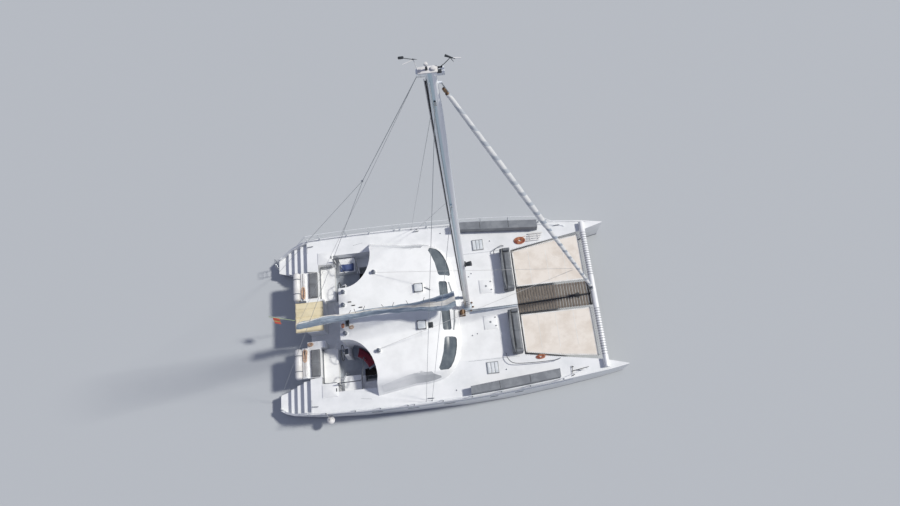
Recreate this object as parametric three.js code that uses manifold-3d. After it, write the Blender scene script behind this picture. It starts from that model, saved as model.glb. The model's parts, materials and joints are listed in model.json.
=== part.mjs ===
// A sailing catamaran of the day-charter kind, afloat, in millimetres.
// +X is the bow, +Y is port, +Z is up. The origin is amidships on the centreline, at the waterline.
import * as THREE from "three";
import { mergeVertices } from "three/addons/utils/BufferGeometryUtils.js";
import Module from "manifold-3d";

const wasm = await Module();
wasm.setup();

// Driving dimensions of the platform
const SEAT = 0.3; // gap between pieces that touch
const BOW_X = 8250;
const STERN_X = -8250;
const DECK_Z = 1720;
const SOLE_Z = 850;
const PLATFORM_Z = 700; // lowest stern step
const CLEAR_Z = 2500; // above everything that is cut from the decks
const BRIDGE_UNDER_Z = 600;
const BRIDGE_FORE_X = 3550;
const BRIDGE_AFT_X = -6650;
const HULL_Y = 3560; // centreline of each hull
const INNER_Y = 2600; // where hull and bridge deck meet
const BOW_INNER_Y = 3170; // inner deck edge at the forward crossbeam
const BEAM_X = 7200;
const BEAM_RADIUS = 135;
const TOE_RAIL = 45;

// Cabin
const CABIN_AFT_X = -4800;
const CABIN_WALL = 60;
const ROOF_SKIN = 70;
const ROOF_CAMBER = 20; // drop of the roof a metre off the centreline, growing with the square
const CABIN_HALF_WIDTH = 3480;
const CABIN_FLARE = 0.16; // how far the cabin sides open out aft of the rounded front
const CABIN_ROUND_X = -1600; // aft of this the cabin sides run straight
const CABIN_FRONT_LENGTH = 2300;
const WELL_INNER_Y = 1240;
const WELL_OUTER_Y = 3370; // beside the wheel
const BENCH_OUTER_Y = 2950; // beside the helm bench, where the well is narrower
const BENCH_FORE_X = -5250;
const ARC_X = -4580;
const ARC_Y = 3000;
const ARC_LENGTH = 1320;
const ARC_WIDTH = 1760;

// Rig
const MAST_X = 1140;
const MAST_TOP_Z = 20690;
const CAP_HOUND_Z = 19600; // where the cap shrouds are fixed
const LOWER_HOUND_Z = 13970;
const MAST_RAKE = 280; // masthead aft of the heel
const MAST_CHORD = 300;
const MAST_WIDTH = 190;
const BOOM_Z = 3420;
const BOOM_LENGTH = 7600;
const BOOM_ANGLE = THREE.MathUtils.degToRad(4.2); // towards starboard
const BOOM_PIVOT_X = 880;
const STAY_FOOT = [7150, 0, 1990];
const STAY_HEAD = [1050, 0, 20250];
const STAY_TANG_Z = 20190; // underside of the mast fitting that holds the stay

// Steering and drive
const RUDDER_X = -7250;
const RUDDER_CHORD = 460;
const RUDDER_DEPTH = 1050;
const RUDDER_TOP_Z = -330;
const DRIVE_X = -5000;
const DRIVE_Z = -1150;
const PROP_X = -5300;
const WHEEL_X = -4985;
const WHEEL_Y = 1560;
const WHEEL_Z = 1640;
const WHEEL_RADIUS = 380;

// Finishes
function finish(color, roughness, metalness = 0) {
  return new THREE.MeshStandardMaterial({ color, roughness, metalness });
}
const gelcoat = finish(0xeeefee, 0.35);
const moulded = finish(0xe6e7e8, 0.5);
const alloy = finish(0xd5d8da, 0.35, 0.8);
const steel = finish(0xc4c9cc, 0.25, 1);
const blackAlloy = finish(0x25272a, 0.5, 0.4);
const greyMesh = finish(0x74777a, 0.85);
const netCloth = finish(0xe0d6ca, 0.9);
const slats = finish(0x7b7066, 0.8);
const creamVinyl = finish(0xe5d8b4, 0.7);
const sailCover = finish(0x8798a6, 0.85);
const sailCloth = finish(0xe4e6e6, 0.8);
const smokedGlass = finish(0x46525a, 0.1);
const whitePlastic = finish(0xf0f0ee, 0.4);
const navyCloth = finish(0x28345c, 0.9);
const redCloth = finish(0x6e2634, 0.9);
const bronze = finish(0xa8854a, 0.35, 0.9);

// Solids from geometries
function solid(geometry) {
  const bare = geometry.clone();
  bare.deleteAttribute("normal");
  bare.deleteAttribute("uv");
  const merged = mergeVertices(bare, 1e-3);
  return new wasm.Manifold(
    new wasm.Mesh({
      numProp: 3,
      vertProperties: merged.attributes.position.array,
      triVerts: new Uint32Array(merged.index.array),
    }),
  );
}

function geometryOf(manifold) {
  const out = manifold.getMesh();
  const geometry = new THREE.BufferGeometry();
  geometry.setAttribute("position", new THREE.BufferAttribute(out.vertProperties, 3));
  geometry.setIndex(new THREE.BufferAttribute(out.triVerts, 1));
  geometry.computeVertexNormals();
  return geometry;
}

function join(first, ...others) {
  return others.reduce((sum, other) => sum.add(other), first);
}

function cut(first, ...others) {
  return others.reduce((rest, other) => rest.subtract(other), first);
}

function box(x0, x1, y0, y1, z0, z1) {
  const geometry = new THREE.BoxGeometry(x1 - x0, y1 - y0, z1 - z0);
  geometry.translate((x0 + x1) / 2, (y0 + y1) / 2, (z0 + z1) / 2);
  return solid(geometry);
}

// A prism standing on z0, from an outline of [x, y] points
function prism(outline, z0, z1) {
  const shape = new THREE.Shape(outline.map(([x, y]) => new THREE.Vector2(x, y)));
  const geometry = new THREE.ExtrudeGeometry(shape, { depth: z1 - z0, bevelEnabled: false });
  geometry.translate(0, 0, z0);
  return solid(geometry);
}

// A prism lying across the boat from y0 to y1, from a side profile of [x, z] points
function sideProfile(outline, y0, y1) {
  const shape = new THREE.Shape(outline.map(([x, z]) => new THREE.Vector2(x, z)));
  const geometry = new THREE.ExtrudeGeometry(shape, { depth: y1 - y0, bevelEnabled: false });
  geometry.rotateX(Math.PI / 2);
  geometry.translate(0, y1, 0);
  return solid(geometry);
}

// A round bar between two points, with its own radius at each end
function bar(from, to, r0, r1 = r0, sides = 8) {
  const a = new THREE.Vector3(...from);
  const b = new THREE.Vector3(...to);
  const geometry = new THREE.CylinderGeometry(r1, r0, a.distanceTo(b), sides);
  geometry.translate(0, a.distanceTo(b) / 2, 0);
  const along = b.clone().sub(a).normalize();
  const turn = new THREE.Quaternion().setFromUnitVectors(new THREE.Vector3(0, 1, 0), along);
  geometry.applyQuaternion(turn);
  geometry.translate(a.x, a.y, a.z);
  return solid(geometry);
}

// Bars end to end, with a ball at each bend
function railing(points, radius, sides = 6) {
  const bars = points.slice(1).map((point, i) => bar(points[i], point, radius, radius, sides));
  const balls = points.slice(1, -1).map(([x, y, z]) => {
    const geometry = new THREE.IcosahedronGeometry(radius * 1.15, 0);
    geometry.translate(x, y, z);
    return solid(geometry);
  });
  return join(...bars, ...balls);
}

// A loft through rings that all have the same number of [x, y, z] points
function loft(rings) {
  const count = rings[0].length;
  const positions = rings.flat(2);
  const index = [];
  for (let i = 0; i + 1 < rings.length; i += 1) {
    for (let j = 0; j < count; j += 1) {
      const next = (j + 1) % count;
      const [a, b, c, d] = [i * count + j, i * count + next, (i + 1) * count + next, (i + 1) * count + j];
      index.push(a, b, c, a, c, d);
    }
  }
  for (const [ring, flip] of [[0, true], [rings.length - 1, false]]) {
    // points in one line would be left out of the face, so its flat copy is a little uneven
    const flat = rings[ring].map(([, y, z], k) => {
      return new THREE.Vector2(y + 0.002 * Math.sin(2.4 * k), z + 0.002 * Math.cos(1.7 * k));
    });
    for (const [a, b, c] of THREE.ShapeUtils.triangulateShape(flat, [])) {
      const face = [a, b, c].map((k) => k + ring * count);
      index.push(...(flip ? face.reverse() : face));
    }
  }
  const geometry = new THREE.BufferGeometry();
  geometry.setAttribute("position", new THREE.Float32BufferAttribute(positions, 3));
  geometry.setIndex(index);
  return solid(geometry);
}

const boat = new THREE.Group();

function add(name, manifold, material, parent = boat) {
  const mesh = new THREE.Mesh(geometryOf(manifold), material);
  mesh.name = name;
  parent.add(mesh);
  return mesh;
}

// The same piece to port and, mirrored, to starboard
function addPair(name, manifold, material) {
  add(name + "_port", manifold, material);
  add(name + "_starboard", manifold.mirror([0, 1, 0]), material);
}

// Hulls. Columns: x, outer deck y, half beam on the waterline, keel depth z
const HULL_STATIONS = [
  [STERN_X, 3800, 300, -30],
  [-7950, 4030, 400, -90],
  [-7500, 4190, 520, -190],
  [-6950, 4260, 620, -330],
  [-6000, 4340, 730, -520],
  [-4200, 4385, 830, -720],
  [-1800, 4385, 860, -810],
  [600, 4330, 840, -810],
  [2400, 4220, 750, -760],
  [BRIDGE_FORE_X, 4125, 660, -700],
  [5000, 3985, 500, -590],
  [6200, 3850, 340, -460],
  [BEAM_X, 3735, 205, -320],
  [7800, 3640, 100, -200],
  [BOW_X, 3560, 14, -60],
];

// Inner deck edge of the hull: straight along the bridge deck, then slanting out to the bow
function innerDeckY(x) {
  if (x > BEAM_X) {
    return THREE.MathUtils.mapLinear(x, BEAM_X, BOW_X, BOW_INNER_Y + 60, 3525);
  }
  if (x > BRIDGE_FORE_X) {
    return THREE.MathUtils.mapLinear(x, BRIDGE_FORE_X, BEAM_X, INNER_Y, BOW_INNER_Y + 60);
  }
  if (x < -6600) {
    return THREE.MathUtils.mapLinear(x, -6600, STERN_X, INNER_Y, 3100);
  }
  return INNER_Y;
}

// Section of the port hull: keel, bilges, topsides, toe rail, deck and the wall under the bridge deck
function hullRing([x, outer, half, keel]) {
  const inner = innerDeckY(x);
  const nearBow = x > BEAM_X;
  const foot = Math.min(inner, HULL_Y - half);
  const lip = nearBow || x < -6900 ? 4 : TOE_RAIL;
  const section = [
    [HULL_Y, keel],
    [HULL_Y + 0.55 * half, keel * 0.86],
    [HULL_Y + 0.86 * half, keel * 0.5],
    [HULL_Y + half, 60],
    [THREE.MathUtils.lerp(HULL_Y + half, outer, 0.7) + 12, 900],
    [outer, DECK_Z + lip],
    [outer - 60, DECK_Z + lip],
    [outer - 66, DECK_Z],
    [inner, DECK_Z],
    [inner, nearBow ? 1250 : 1000],
    [foot + (nearBow ? 10 : 0), nearBow ? 900 : BRIDGE_UNDER_Z],
    [HULL_Y - half, 60],
    [HULL_Y - 0.86 * half, keel * 0.5],
    [HULL_Y - 0.55 * half, keel * 0.86],
  ];
  if (nearBow) {
    const narrow = (outer - inner) / 2;
    section[6][0] = outer - Math.min(60, narrow * 0.5);
    section[7][0] = outer - Math.min(66, narrow * 0.6);
  }
  return section.map(([y, z]) => [x, y, z]);
}

// Stern steps. Columns: riser x, height of the tread aft of it
const STERN_STEPS = [
  [-6550, 1450],
  [-6940, 1190],
  [-7320, 940],
  [-7690, PLATFORM_Z],
];
const COAMING = 110; // width of the sloping side that bounds the steps outboard
const COAMING_FORE_X = -6700;
const COAMING_AFT_X = -8050; // where its slope flattens
const STEPS_FORE_X = -6000;
const STEPS_INNER_Y = 2000;
const STEPS_OUTER_Y = 4700;

// Height of the coaming's sloping top beside the steps
function coamingZ(x) {
  const [high, low] = [DECK_Z + TOE_RAIL + 1, PLATFORM_Z + 130];
  return THREE.MathUtils.mapLinear(x, COAMING_FORE_X, COAMING_AFT_X, high, low);
}

function hullShell() {
  const body = loft(HULL_STATIONS.map(hullRing));
  const beyond = STERN_X - 100;
  const slope = sideProfile(
    [[COAMING_FORE_X, CLEAR_Z], [COAMING_FORE_X, coamingZ(COAMING_FORE_X)],
      [COAMING_AFT_X, coamingZ(COAMING_AFT_X)],
      [beyond, PLATFORM_Z + 60], [beyond, CLEAR_Z]],
    STEPS_INNER_Y,
    STEPS_OUTER_Y,
  );
  const aftStations = HULL_STATIONS.filter(([x]) => x <= STEPS_FORE_X);
  const stepArea = [
    [beyond, STEPS_INNER_Y],
    [STEPS_FORE_X, STEPS_INNER_Y],
    ...aftStations.map(([x, outer]) => [x, outer - COAMING]).reverse(),
    [beyond, HULL_STATIONS[0][1] - COAMING],
  ];
  const area = prism(stepArea, 0, CLEAR_Z);
  const steps = STERN_STEPS.map(([x, z]) => {
    return box(beyond, x, STEPS_INNER_Y, STEPS_OUTER_Y, z, CLEAR_Z).intersect(area);
  });
  return cut(body, slope, ...steps);
}

// Fixed pieces under each hull: a stub keel, and the leg that carries the propeller
function stubKeel() {
  // Columns: z, leading edge x, trailing edge x, half thickness
  const rows = [
    [-640, 1500, -1400, 150],
    [-1350, 1150, -1250, 90],
  ];
  const rings = rows.map(([z, fore, aft, half]) => [
    [fore, HULL_Y, z],
    [fore - 350, HULL_Y + half, z],
    [aft + 900, HULL_Y + half, z],
    [aft, HULL_Y, z],
    [aft + 900, HULL_Y - half, z],
    [fore - 350, HULL_Y - half, z],
  ]);
  return verticalLoft(rings);
}

// A loft whose rings lie flat, one above the other
function verticalLoft(rings) {
  const turned = rings.map((ring) => ring.map(([x, y, z]) => [z, y, -x]));
  const built = loft(turned[0][0][0] < turned[turned.length - 1][0][0] ? turned : turned.reverse());
  return built.transform([0, 0, 1, 0, 0, 1, 0, 0, -1, 0, 0, 0, 0, 0, 0, 1]);
}

function driveLeg() {
  const rows = [-560, DRIVE_Z].map((z) => [
    [DRIVE_X + 190, HULL_Y, z],
    [DRIVE_X + 60, HULL_Y + 45, z],
    [DRIVE_X - 170, HULL_Y, z],
    [DRIVE_X + 60, HULL_Y - 45, z],
  ]);
  const pod = bar([DRIVE_X + 160, HULL_Y, DRIVE_Z], [PROP_X + 60, HULL_Y, DRIVE_Z], 45, 75, 12);
  const nose = bar([DRIVE_X + 160, HULL_Y, DRIVE_Z], [DRIVE_X + 240, HULL_Y, DRIVE_Z], 45, 12, 12);
  const stub = bar([PROP_X + 61, HULL_Y, DRIVE_Z], [PROP_X - 20, HULL_Y, DRIVE_Z], 14, 14, 12);
  return join(verticalLoft(rows), pod, nose, stub);
}

// Recesses under the hinged lids. Columns: name, x0, x1, y0, y1, depth, lid thickness
const LIDS = {
  deck_hatch: [1720, 2260, 2780, 3330, 300, 45],
  engine_hatch: [-6000, -5270, 2985, 3580, 300, 30],
  locker_lid: [1840, 2440, 560, 1230, 400, 35],
};
const LID_LEDGE = 30; // how far the lid overlaps the deck round its recess

function recess([x0, x1, y0, y1, depth]) {
  return box(x0 + LID_LEDGE, x1 - LID_LEDGE, y0 + LID_LEDGE, y1 - LID_LEDGE, DECK_Z - depth, DECK_Z + 100);
}

// The side cockpit in plan: the cabin's rounded corner bounds it forward
function arcPoints(offset, steps = 12) {
  const points = [];
  for (let i = 0; i <= steps; i += 1) {
    const angle = (i / steps) * (Math.PI / 2);
    points.push([
      ARC_X + (ARC_LENGTH + offset) * Math.sin(angle),
      ARC_Y - (ARC_WIDTH + offset) * Math.cos(angle),
    ]);
  }
  return points;
}

// A band that follows the arc inside the cockpit, between two angles and two distances from it
function arcBand(fromDegrees, toDegrees, near, far) {
  const steps = 8;
  const at = (distance, i) => {
    const angle = THREE.MathUtils.degToRad(fromDegrees + ((toDegrees - fromDegrees) * i) / steps);
    const [across, along] = [ARC_WIDTH - distance, ARC_LENGTH - distance];
    return [ARC_X + along * Math.sin(angle), ARC_Y - across * Math.cos(angle)];
  };
  const outline = [];
  for (let i = 0; i <= steps; i += 1) {
    outline.push(at(near, i));
  }
  for (let i = steps; i >= 0; i -= 1) {
    outline.push(at(far, i));
  }
  return outline;
}

function sideWell(z0, z1) {
  const outline = [
    [-6000, WELL_INNER_Y - 40],
    [CABIN_AFT_X, WELL_INNER_Y - 40],
    [CABIN_AFT_X, WELL_INNER_Y],
    ...arcPoints(0),
    [ARC_X + ARC_LENGTH - 30, WELL_OUTER_Y],
    [BENCH_FORE_X, WELL_OUTER_Y],
    [BENCH_FORE_X, BENCH_OUTER_Y],
    [-6000, BENCH_OUTER_Y],
  ];
  return prism(outline, z0, z1);
}

// What lies aft of the cabin's rear wall, at roof level; the wall grows by the offset
function openAft(offset, z0, z1) {
  const outline = [
    [-9000, -WELL_INNER_Y + offset],
    [CABIN_AFT_X + offset, -WELL_INNER_Y + offset],
    [CABIN_AFT_X + offset, WELL_INNER_Y - offset],
    ...arcPoints(offset),
    [-3390 + offset, 3800],
    [-3390 + offset, 4500],
    [-9000, 4500],
  ];
  const port = prism(outline, z0, z1);
  return port.add(port.mirror([0, 1, 0]));
}

// Way down from the side cockpit into the hull
const STAIR_AFT_X = -4100;
const STAIR_FORE_X = -3500;
function stairwell(y0, y1, floorZ) {
  return box(STAIR_AFT_X, STAIR_FORE_X, y0, y1, floorZ, SOLE_Z + 1);
}

const SIDE_SEAT_Z = 1200;
const wells = [sideWell(SOLE_Z, CLEAR_Z), sideWell(SOLE_Z, CLEAR_Z).mirror([0, 1, 0])];
const SIDE_SEAT = box(-5050, -4250, INNER_Y, WELL_OUTER_Y + 1, SOLE_Z - 1, SIDE_SEAT_Z);
const hull = cut(
  join(hullShell(), stubKeel(), driveLeg()),
  sideWell(SOLE_Z, CLEAR_Z).subtract(SIDE_SEAT),
  stairwell(INNER_Y - 1, 2900, 250),
  recess(LIDS.deck_hatch),
  recess(LIDS.engine_hatch),
  bar([RUDDER_X, HULL_Y, -900], [RUDDER_X, HULL_Y, 60], 36, 36, 16),
);
const LADDER_X = STERN_X - 20;
const LADDER_PIN_Z = PLATFORM_Z - 25;
const LADDER_TOP_Z = LADDER_PIN_Z + 725;
const LADDER_RAILS = [3330, 3650];
const ladderLugs = [LADDER_RAILS[0] + 40, LADDER_RAILS[1] - 50].map((y) => {
  return box(LADDER_X - 16, STERN_X + 1, y, y + 10, LADDER_PIN_Z - 16, LADDER_PIN_Z + 16);
});
const ladderBore = bar([LADDER_X, 3300, LADDER_PIN_Z], [LADDER_X, 3700, LADDER_PIN_Z], 9.6, 9.6, 12);
add("hull_port", hull.add(join(...ladderLugs).subtract(ladderBore)), gelcoat);
add("hull_starboard", hull.mirror([0, 1, 0]), gelcoat);

// Racks behind the aft seats, where the raft canisters lie
const RACK_FLOOR_Z = 1600;
function aftRack() {
  const profile = [
    [BRIDGE_AFT_X + 1, 1500],
    [BRIDGE_AFT_X + 1, 1800],
    [-6880, 1800],
    [-6880, RACK_FLOOR_Z],
    [-7240, RACK_FLOOR_Z],
    [-7240, 1500],
  ];
  return sideProfile(profile, 1180, 2590);
}

// Bridge deck between the hulls, with the cabin floor, the cockpit sole, the low seats
// in the side cockpits, the aft shelf and racks, and the channel that the anchor chain runs in
const SEAT_Z = 1160;
const WINDLASS_FORE_X = 1010;
const GANGWAY_OUTER_Y = -880; // starboard side of the way aft from the cockpit
const SHELF_AFT_X = -7150;
const SUNPAD_INNER_Y = -400;
const SUNPAD_OUTER_Y = 1100;
const DOOR_SIDES = [CABIN_AFT_X - 10, CABIN_AFT_X + CABIN_WALL + 10, -400, 400]; // of its opening
function bridgeDeck() {
  const half = INNER_Y - SEAT;
  const slab = sideProfile(
    [
      [BRIDGE_AFT_X, 760],
      [BRIDGE_AFT_X + 300, BRIDGE_UNDER_Z],
      [2400, BRIDGE_UNDER_Z],
      [BRIDGE_FORE_X, 1250],
      [BRIDGE_FORE_X, DECK_Z],
      [BRIDGE_AFT_X, DECK_Z],
    ],
    -half,
    half,
  );
  const shelfSides = [SUNPAD_INNER_Y + 20, SUNPAD_OUTER_Y - 20];
  const shelf = box(SHELF_AFT_X, BRIDGE_AFT_X + 1, ...shelfSides, RACK_FLOOR_Z, DECK_Z);
  const saloon = cut(
    box(CABIN_AFT_X + CABIN_WALL, 300, -2450, 2450, SOLE_Z, CLEAR_Z),
    openAft(CABIN_WALL, 0, 3000),
  );
  const middle = box(-5800, CABIN_AFT_X, -WELL_INNER_Y, WELL_INNER_Y, SOLE_Z, CLEAR_Z);
  const gangway = box(-6800, -5799, GANGWAY_OUTER_Y, SUNPAD_INNER_Y, SOLE_Z, CLEAR_Z);
  const door = box(...DOOR_SIDES, SOLE_Z + 20, CLEAR_Z);
  const locker = recess(LIDS.locker_lid);
  const hollowed = cut(
    join(slab, shelf, aftRack(), aftRack().mirror([0, 1, 0])),
    saloon,
    middle,
    gangway,
    ...wells,
    door,
    locker,
    locker.mirror([0, 1, 0]),
    stairwell(2300, half + 1, 700),
    stairwell(-half - 1, -2300, 700),
  );
  const arcSeat = prism(arcBand(0, 62, -1, 480), SOLE_Z - 50, SEAT_Z);
  const channel = box(WINDLASS_FORE_X + 10, BRIDGE_FORE_X - 100, -270, -170, DECK_Z - 20, DECK_Z + 50);
  return join(hollowed, arcSeat, arcSeat.mirror([0, 1, 0]), channel);
}
add("bridge_deck", bridgeDeck(), gelcoat);

// Coachroof. Columns: distance aft of the front outline, height of the crown above the deck
const ROOF_CROWN = [
  [0, 0],
  [90, 200],
  [240, 410],
  [420, 640],
  [780, 790],
  [1150, 875],
  [1740, 945],
  [5500, 1285],
];

function crownHeight(distance) {
  if (distance <= 0) {
    return 0;
  }
  const last = ROOF_CROWN[ROOF_CROWN.length - 1];
  const upper = ROOF_CROWN.findIndex(([d]) => d > distance);
  if (upper < 0) {
    return last[1];
  }
  const [d0, h0] = ROOF_CROWN[upper - 1];
  const [d1, h1] = ROOF_CROWN[upper];
  return THREE.MathUtils.mapLinear(distance, d0, d1, h0, h1);
}

function cabinHalfWidth(x) {
  const t = THREE.MathUtils.clamp((x - CABIN_ROUND_X) / CABIN_FRONT_LENGTH, 0, 1);
  return CABIN_HALF_WIDTH * (1 - t ** 3) ** 0.25 + CABIN_FLARE * Math.max(0, CABIN_ROUND_X - x);
}

function cabinFrontX(y) {
  const t = Math.min(1, Math.abs(y) / CABIN_HALF_WIDTH);
  return CABIN_ROUND_X + CABIN_FRONT_LENGTH * Math.cbrt(1 - t ** 4);
}

// Height of the roof above the deck: crown less camber, bounded by the raked sides
const SIDE_SLOPE = 1.95;
const EDGE_SOFTNESS = 60;
function roofHeight(x, y) {
  const behind = cabinFrontX(y) - x;
  const camber = ROOF_CAMBER * (y / 1000) ** 2;
  const crown = crownHeight(behind) - camber * THREE.MathUtils.clamp(behind / 700, 0, 1);
  const side = (cabinHalfWidth(x) - Math.abs(y)) * SIDE_SLOPE;
  const h = Math.max(EDGE_SOFTNESS - Math.abs(crown - side), 0) / EDGE_SOFTNESS;
  return Math.max(0, Math.min(crown, side) - (h * h * EDGE_SOFTNESS) / 4);
}

const ROOF_STATIONS = [
  CABIN_AFT_X, -4200, -3700, -3300, -2700, -2100, -1600, -1100, -700, -350, -100,
  100, 260, 390, 490, 570, 630, 670, 694,
];
// Places across the roof, as shares of its half width
const ROOF_SHARES = [1, 0.975, 0.945, 0.91, 0.87, 0.81, 0.72, 0.6, 0.45, 0.3, 0.15];

function roofBody(drop, inset, floorZ) {
  const across = [...ROOF_SHARES, 0, ...ROOF_SHARES.map((s) => -s).reverse()];
  const rings = ROOF_STATIONS.map((x) => {
    const width = Math.max(40, cabinHalfWidth(x) - inset);
    const top = across.map((share) => {
      const y = share * width;
      return [x, y, Math.max(DECK_Z + 2, DECK_Z + roofHeight(x, y) - drop)];
    });
    return [...top, [x, -width, floorZ], [x, width, floorZ]];
  });
  return loft(rings);
}

// Front windows in plan. The outer ones follow the rounded corner of the cabin.
const OUTER_WINDOW = [
  [-470, 2880],
  [-340, 2600],
  [-190, 2150],
  [-80, 1560],
  [-20, 1500],
  [420, 1500],
  [470, 1580],
  [450, 1900],
  [370, 2260],
  [240, 2600],
  [80, 2850],
  [-60, 2960],
  [-400, 3000],
];
const INNER_WINDOW = [
  [-100, 250],
  [-50, 190],
  [230, 190],
  [290, 250],
  [290, 1120],
  [230, 1190],
  [-50, 1190],
  [-100, 1120],
];
// Roof vents: x, y and half size of each opening lid
const ROOF_HATCH = [-1060, 900, 210];
const DOOR_TOP_Z = 2560;

function coachroof() {
  const outside = cut(roofBody(0, 0, DECK_Z + SEAT), openAft(0, 0, 4000));
  const inside = cut(roofBody(ROOF_SKIN, ROOF_SKIN, DECK_Z - 50), openAft(CABIN_WALL, 0, 4000));
  const windows = [OUTER_WINDOW, INNER_WINDOW].map((outline) => prism(outline, DECK_Z + 20, 3500));
  const door = box(...DOOR_SIDES, DECK_Z - 50, DOOR_TOP_Z);
  const [hx, hy, half] = ROOF_HATCH;
  const vent = box(hx - half + 30, hx + half - 30, hy - half + 30, hy + half - 30, 2400, 3200);
  const mirrored = [...windows, vent].map((piece) => piece.mirror([0, 1, 0]));
  const track = box(CABIN_AFT_X - 45, CABIN_AFT_X + 20, -430, 1225, DOOR_TOP_Z + 40.5, DOOR_TOP_Z + 80);
  const curbs = [1, -1].map((side) => {
    return box(hx - half, hx + half, side * hy - half, side * hy + half, 2620, ROOF_HATCH_TOP_Z);
  });
  return cut(join(outside.subtract(inside), track, ...curbs), ...windows, door, vent, ...mirrored);
}
const ROOF_HATCH_TOP_Z = 2745;
add("coachroof", coachroof(), gelcoat);

// Glass behind the four front windows, one bonded band
function windscreen() {
  const outer = roofBody(ROOF_SKIN + SEAT, ROOF_SKIN + SEAT, DECK_Z - 40);
  const inner = roofBody(ROOF_SKIN + SEAT + 12, ROOF_SKIN + SEAT + 12, DECK_Z - 60);
  const band = prism([[-620, -3050], [620, -3050], [620, 3050], [-620, 3050]], DECK_Z + 60, 3500);
  return outer.subtract(inner).intersect(band);
}
add("windscreen", windscreen(), smokedGlass);

// Sliding door of the cabin, hung under the track on the aft wall
add("cabin_door", box(CABIN_AFT_X - 38, CABIN_AFT_X - 6, -425, 425, SOLE_Z + 6, DOOR_TOP_Z + 40), smokedGlass);

// Hinged lids on the deck. Each turns on its aft top edge.
function lid([x0, x1, y0, y1, , thick]) {
  return box(x0, x1, y0, y1, DECK_Z + SEAT, DECK_Z + thick);
}
addPair("deck_hatch", lid(LIDS.deck_hatch), smokedGlass);
addPair("engine_hatch", lid(LIDS.engine_hatch), moulded);
addPair("locker_lid", lid(LIDS.locker_lid), moulded);

function roofLid() {
  const [hx, hy, half] = ROOF_HATCH;
  return box(hx - half, hx + half, hy - half, hy + half, ROOF_HATCH_TOP_Z + SEAT, ROOF_HATCH_TOP_Z + 30);
}
addPair("roof_hatch", roofLid(), smokedGlass);

// Helm bench in each side cockpit, with a tube round its back
const BENCH_TOP_Z = 1230;
const BENCH_BACK_Z = 1500;
const BENCH_TUBE = 16;
function helmBench() {
  const seat = box(-5990, -5300, 1210, 2930, SOLE_Z + SEAT, BENCH_TOP_Z);
  const foot = BENCH_TOP_Z - 30;
  const back = railing(
    [[-5400, 2900, foot], [-5400, 2900, BENCH_BACK_Z - 20], [-5900, 2900, BENCH_BACK_Z],
      [-5960, 2840, BENCH_BACK_Z], [-5960, 1300, BENCH_BACK_Z], [-5960, 1300, foot]],
    BENCH_TUBE,
  );
  return seat.add(back);
}
addPair("helm_bench", helmBench(), whitePlastic);

// Steering pedestal and wheel
function pedestal() {
  const column = verticalLoft([
    [[-4600, WHEEL_Y - 260, SOLE_Z + SEAT], [-4600, WHEEL_Y + 260, SOLE_Z + SEAT],
      [-4900, WHEEL_Y + 200, SOLE_Z + SEAT], [-4900, WHEEL_Y - 200, SOLE_Z + SEAT]],
    [[-4660, WHEEL_Y - 200, 1900], [-4660, WHEEL_Y + 200, 1900],
      [-4880, WHEEL_Y + 140, 1780], [-4880, WHEEL_Y - 140, 1780]],
  ]);
  const axle = bar([-4880, WHEEL_Y, WHEEL_Z], [WHEEL_X + 26, WHEEL_Y, WHEEL_Z], 30, 30, 12);
  return column.add(axle);
}
addPair("helm_pedestal", pedestal(), whitePlastic);

function helmWheel() {
  const rim = new THREE.TorusGeometry(WHEEL_RADIUS, 16, 6, 28);
  rim.rotateY(Math.PI / 2);
  rim.translate(WHEEL_X, WHEEL_Y, WHEEL_Z);
  const hub = bar([WHEEL_X - 30, WHEEL_Y, WHEEL_Z], [WHEEL_X + 25.5, WHEEL_Y, WHEEL_Z], 45, 45, 12);
  const spokes = [0, 1, 2, 3, 4].map((i) => {
    const angle = (i / 5) * 2 * Math.PI + Math.PI / 2;
    const tip = [WHEEL_X, WHEEL_Y + WHEEL_RADIUS * Math.cos(angle), WHEEL_Z + WHEEL_RADIUS * Math.sin(angle)];
    return bar([WHEEL_X, WHEEL_Y, WHEEL_Z], tip, 10);
  });
  return join(solid(rim), hub, ...spokes);
}
addPair("helm_wheel", helmWheel(), steel);

// Aft seat pads, and the raft canisters on the racks behind them
addPair("aft_pad", box(-6500, -6030, 1260, 2590, DECK_Z + SEAT, 1830), greyMesh);

const CANISTER_RADIUS = 178;
const CANISTER_RIB = 6; // how far the rib round its middle stands out
const CANISTER_HALF = 710;
function canister() {
  const radius = CANISTER_RADIUS;
  const end = CANISTER_HALF - 10;
  const shoulder = CANISTER_HALF - 80;
  const profile = [
    [0, -CANISTER_HALF], [120, -end], [radius, -shoulder], [radius, -20], [radius + CANISTER_RIB, 0],
    [radius, 20], [radius, shoulder], [120, end], [0, CANISTER_HALF],
  ].map(([r, y]) => new THREE.Vector2(r, y));
  const geometry = new THREE.LatheGeometry(profile, 20);
  geometry.translate(-7066, 1900, RACK_FLOOR_Z + radius + CANISTER_RIB + SEAT);
  return solid(geometry);
}
addPair("raft_canister", canister(), whitePlastic);

const sunpad = box(SHELF_AFT_X - 50, -5810, SUNPAD_INNER_Y, SUNPAD_OUTER_Y, DECK_Z + SEAT, DECK_Z + 70);
add("aft_sunpad", sunpad, creamVinyl);

// Cockpit cushions: one on the outboard seat to port, one on the curved seat to starboard
const CUSHION = 110;
add("cockpit_cushion_port", box(-5000, -4300, 2630, 3040, SIDE_SEAT_Z + SEAT, SIDE_SEAT_Z + CUSHION), navyCloth);
const arcCushion = prism(arcBand(14, 58, 25, 455), SEAT_Z + SEAT, SEAT_Z + CUSHION);
add("cockpit_cushion_starboard", arcCushion.mirror([0, 1, 0]), redCloth);

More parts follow.
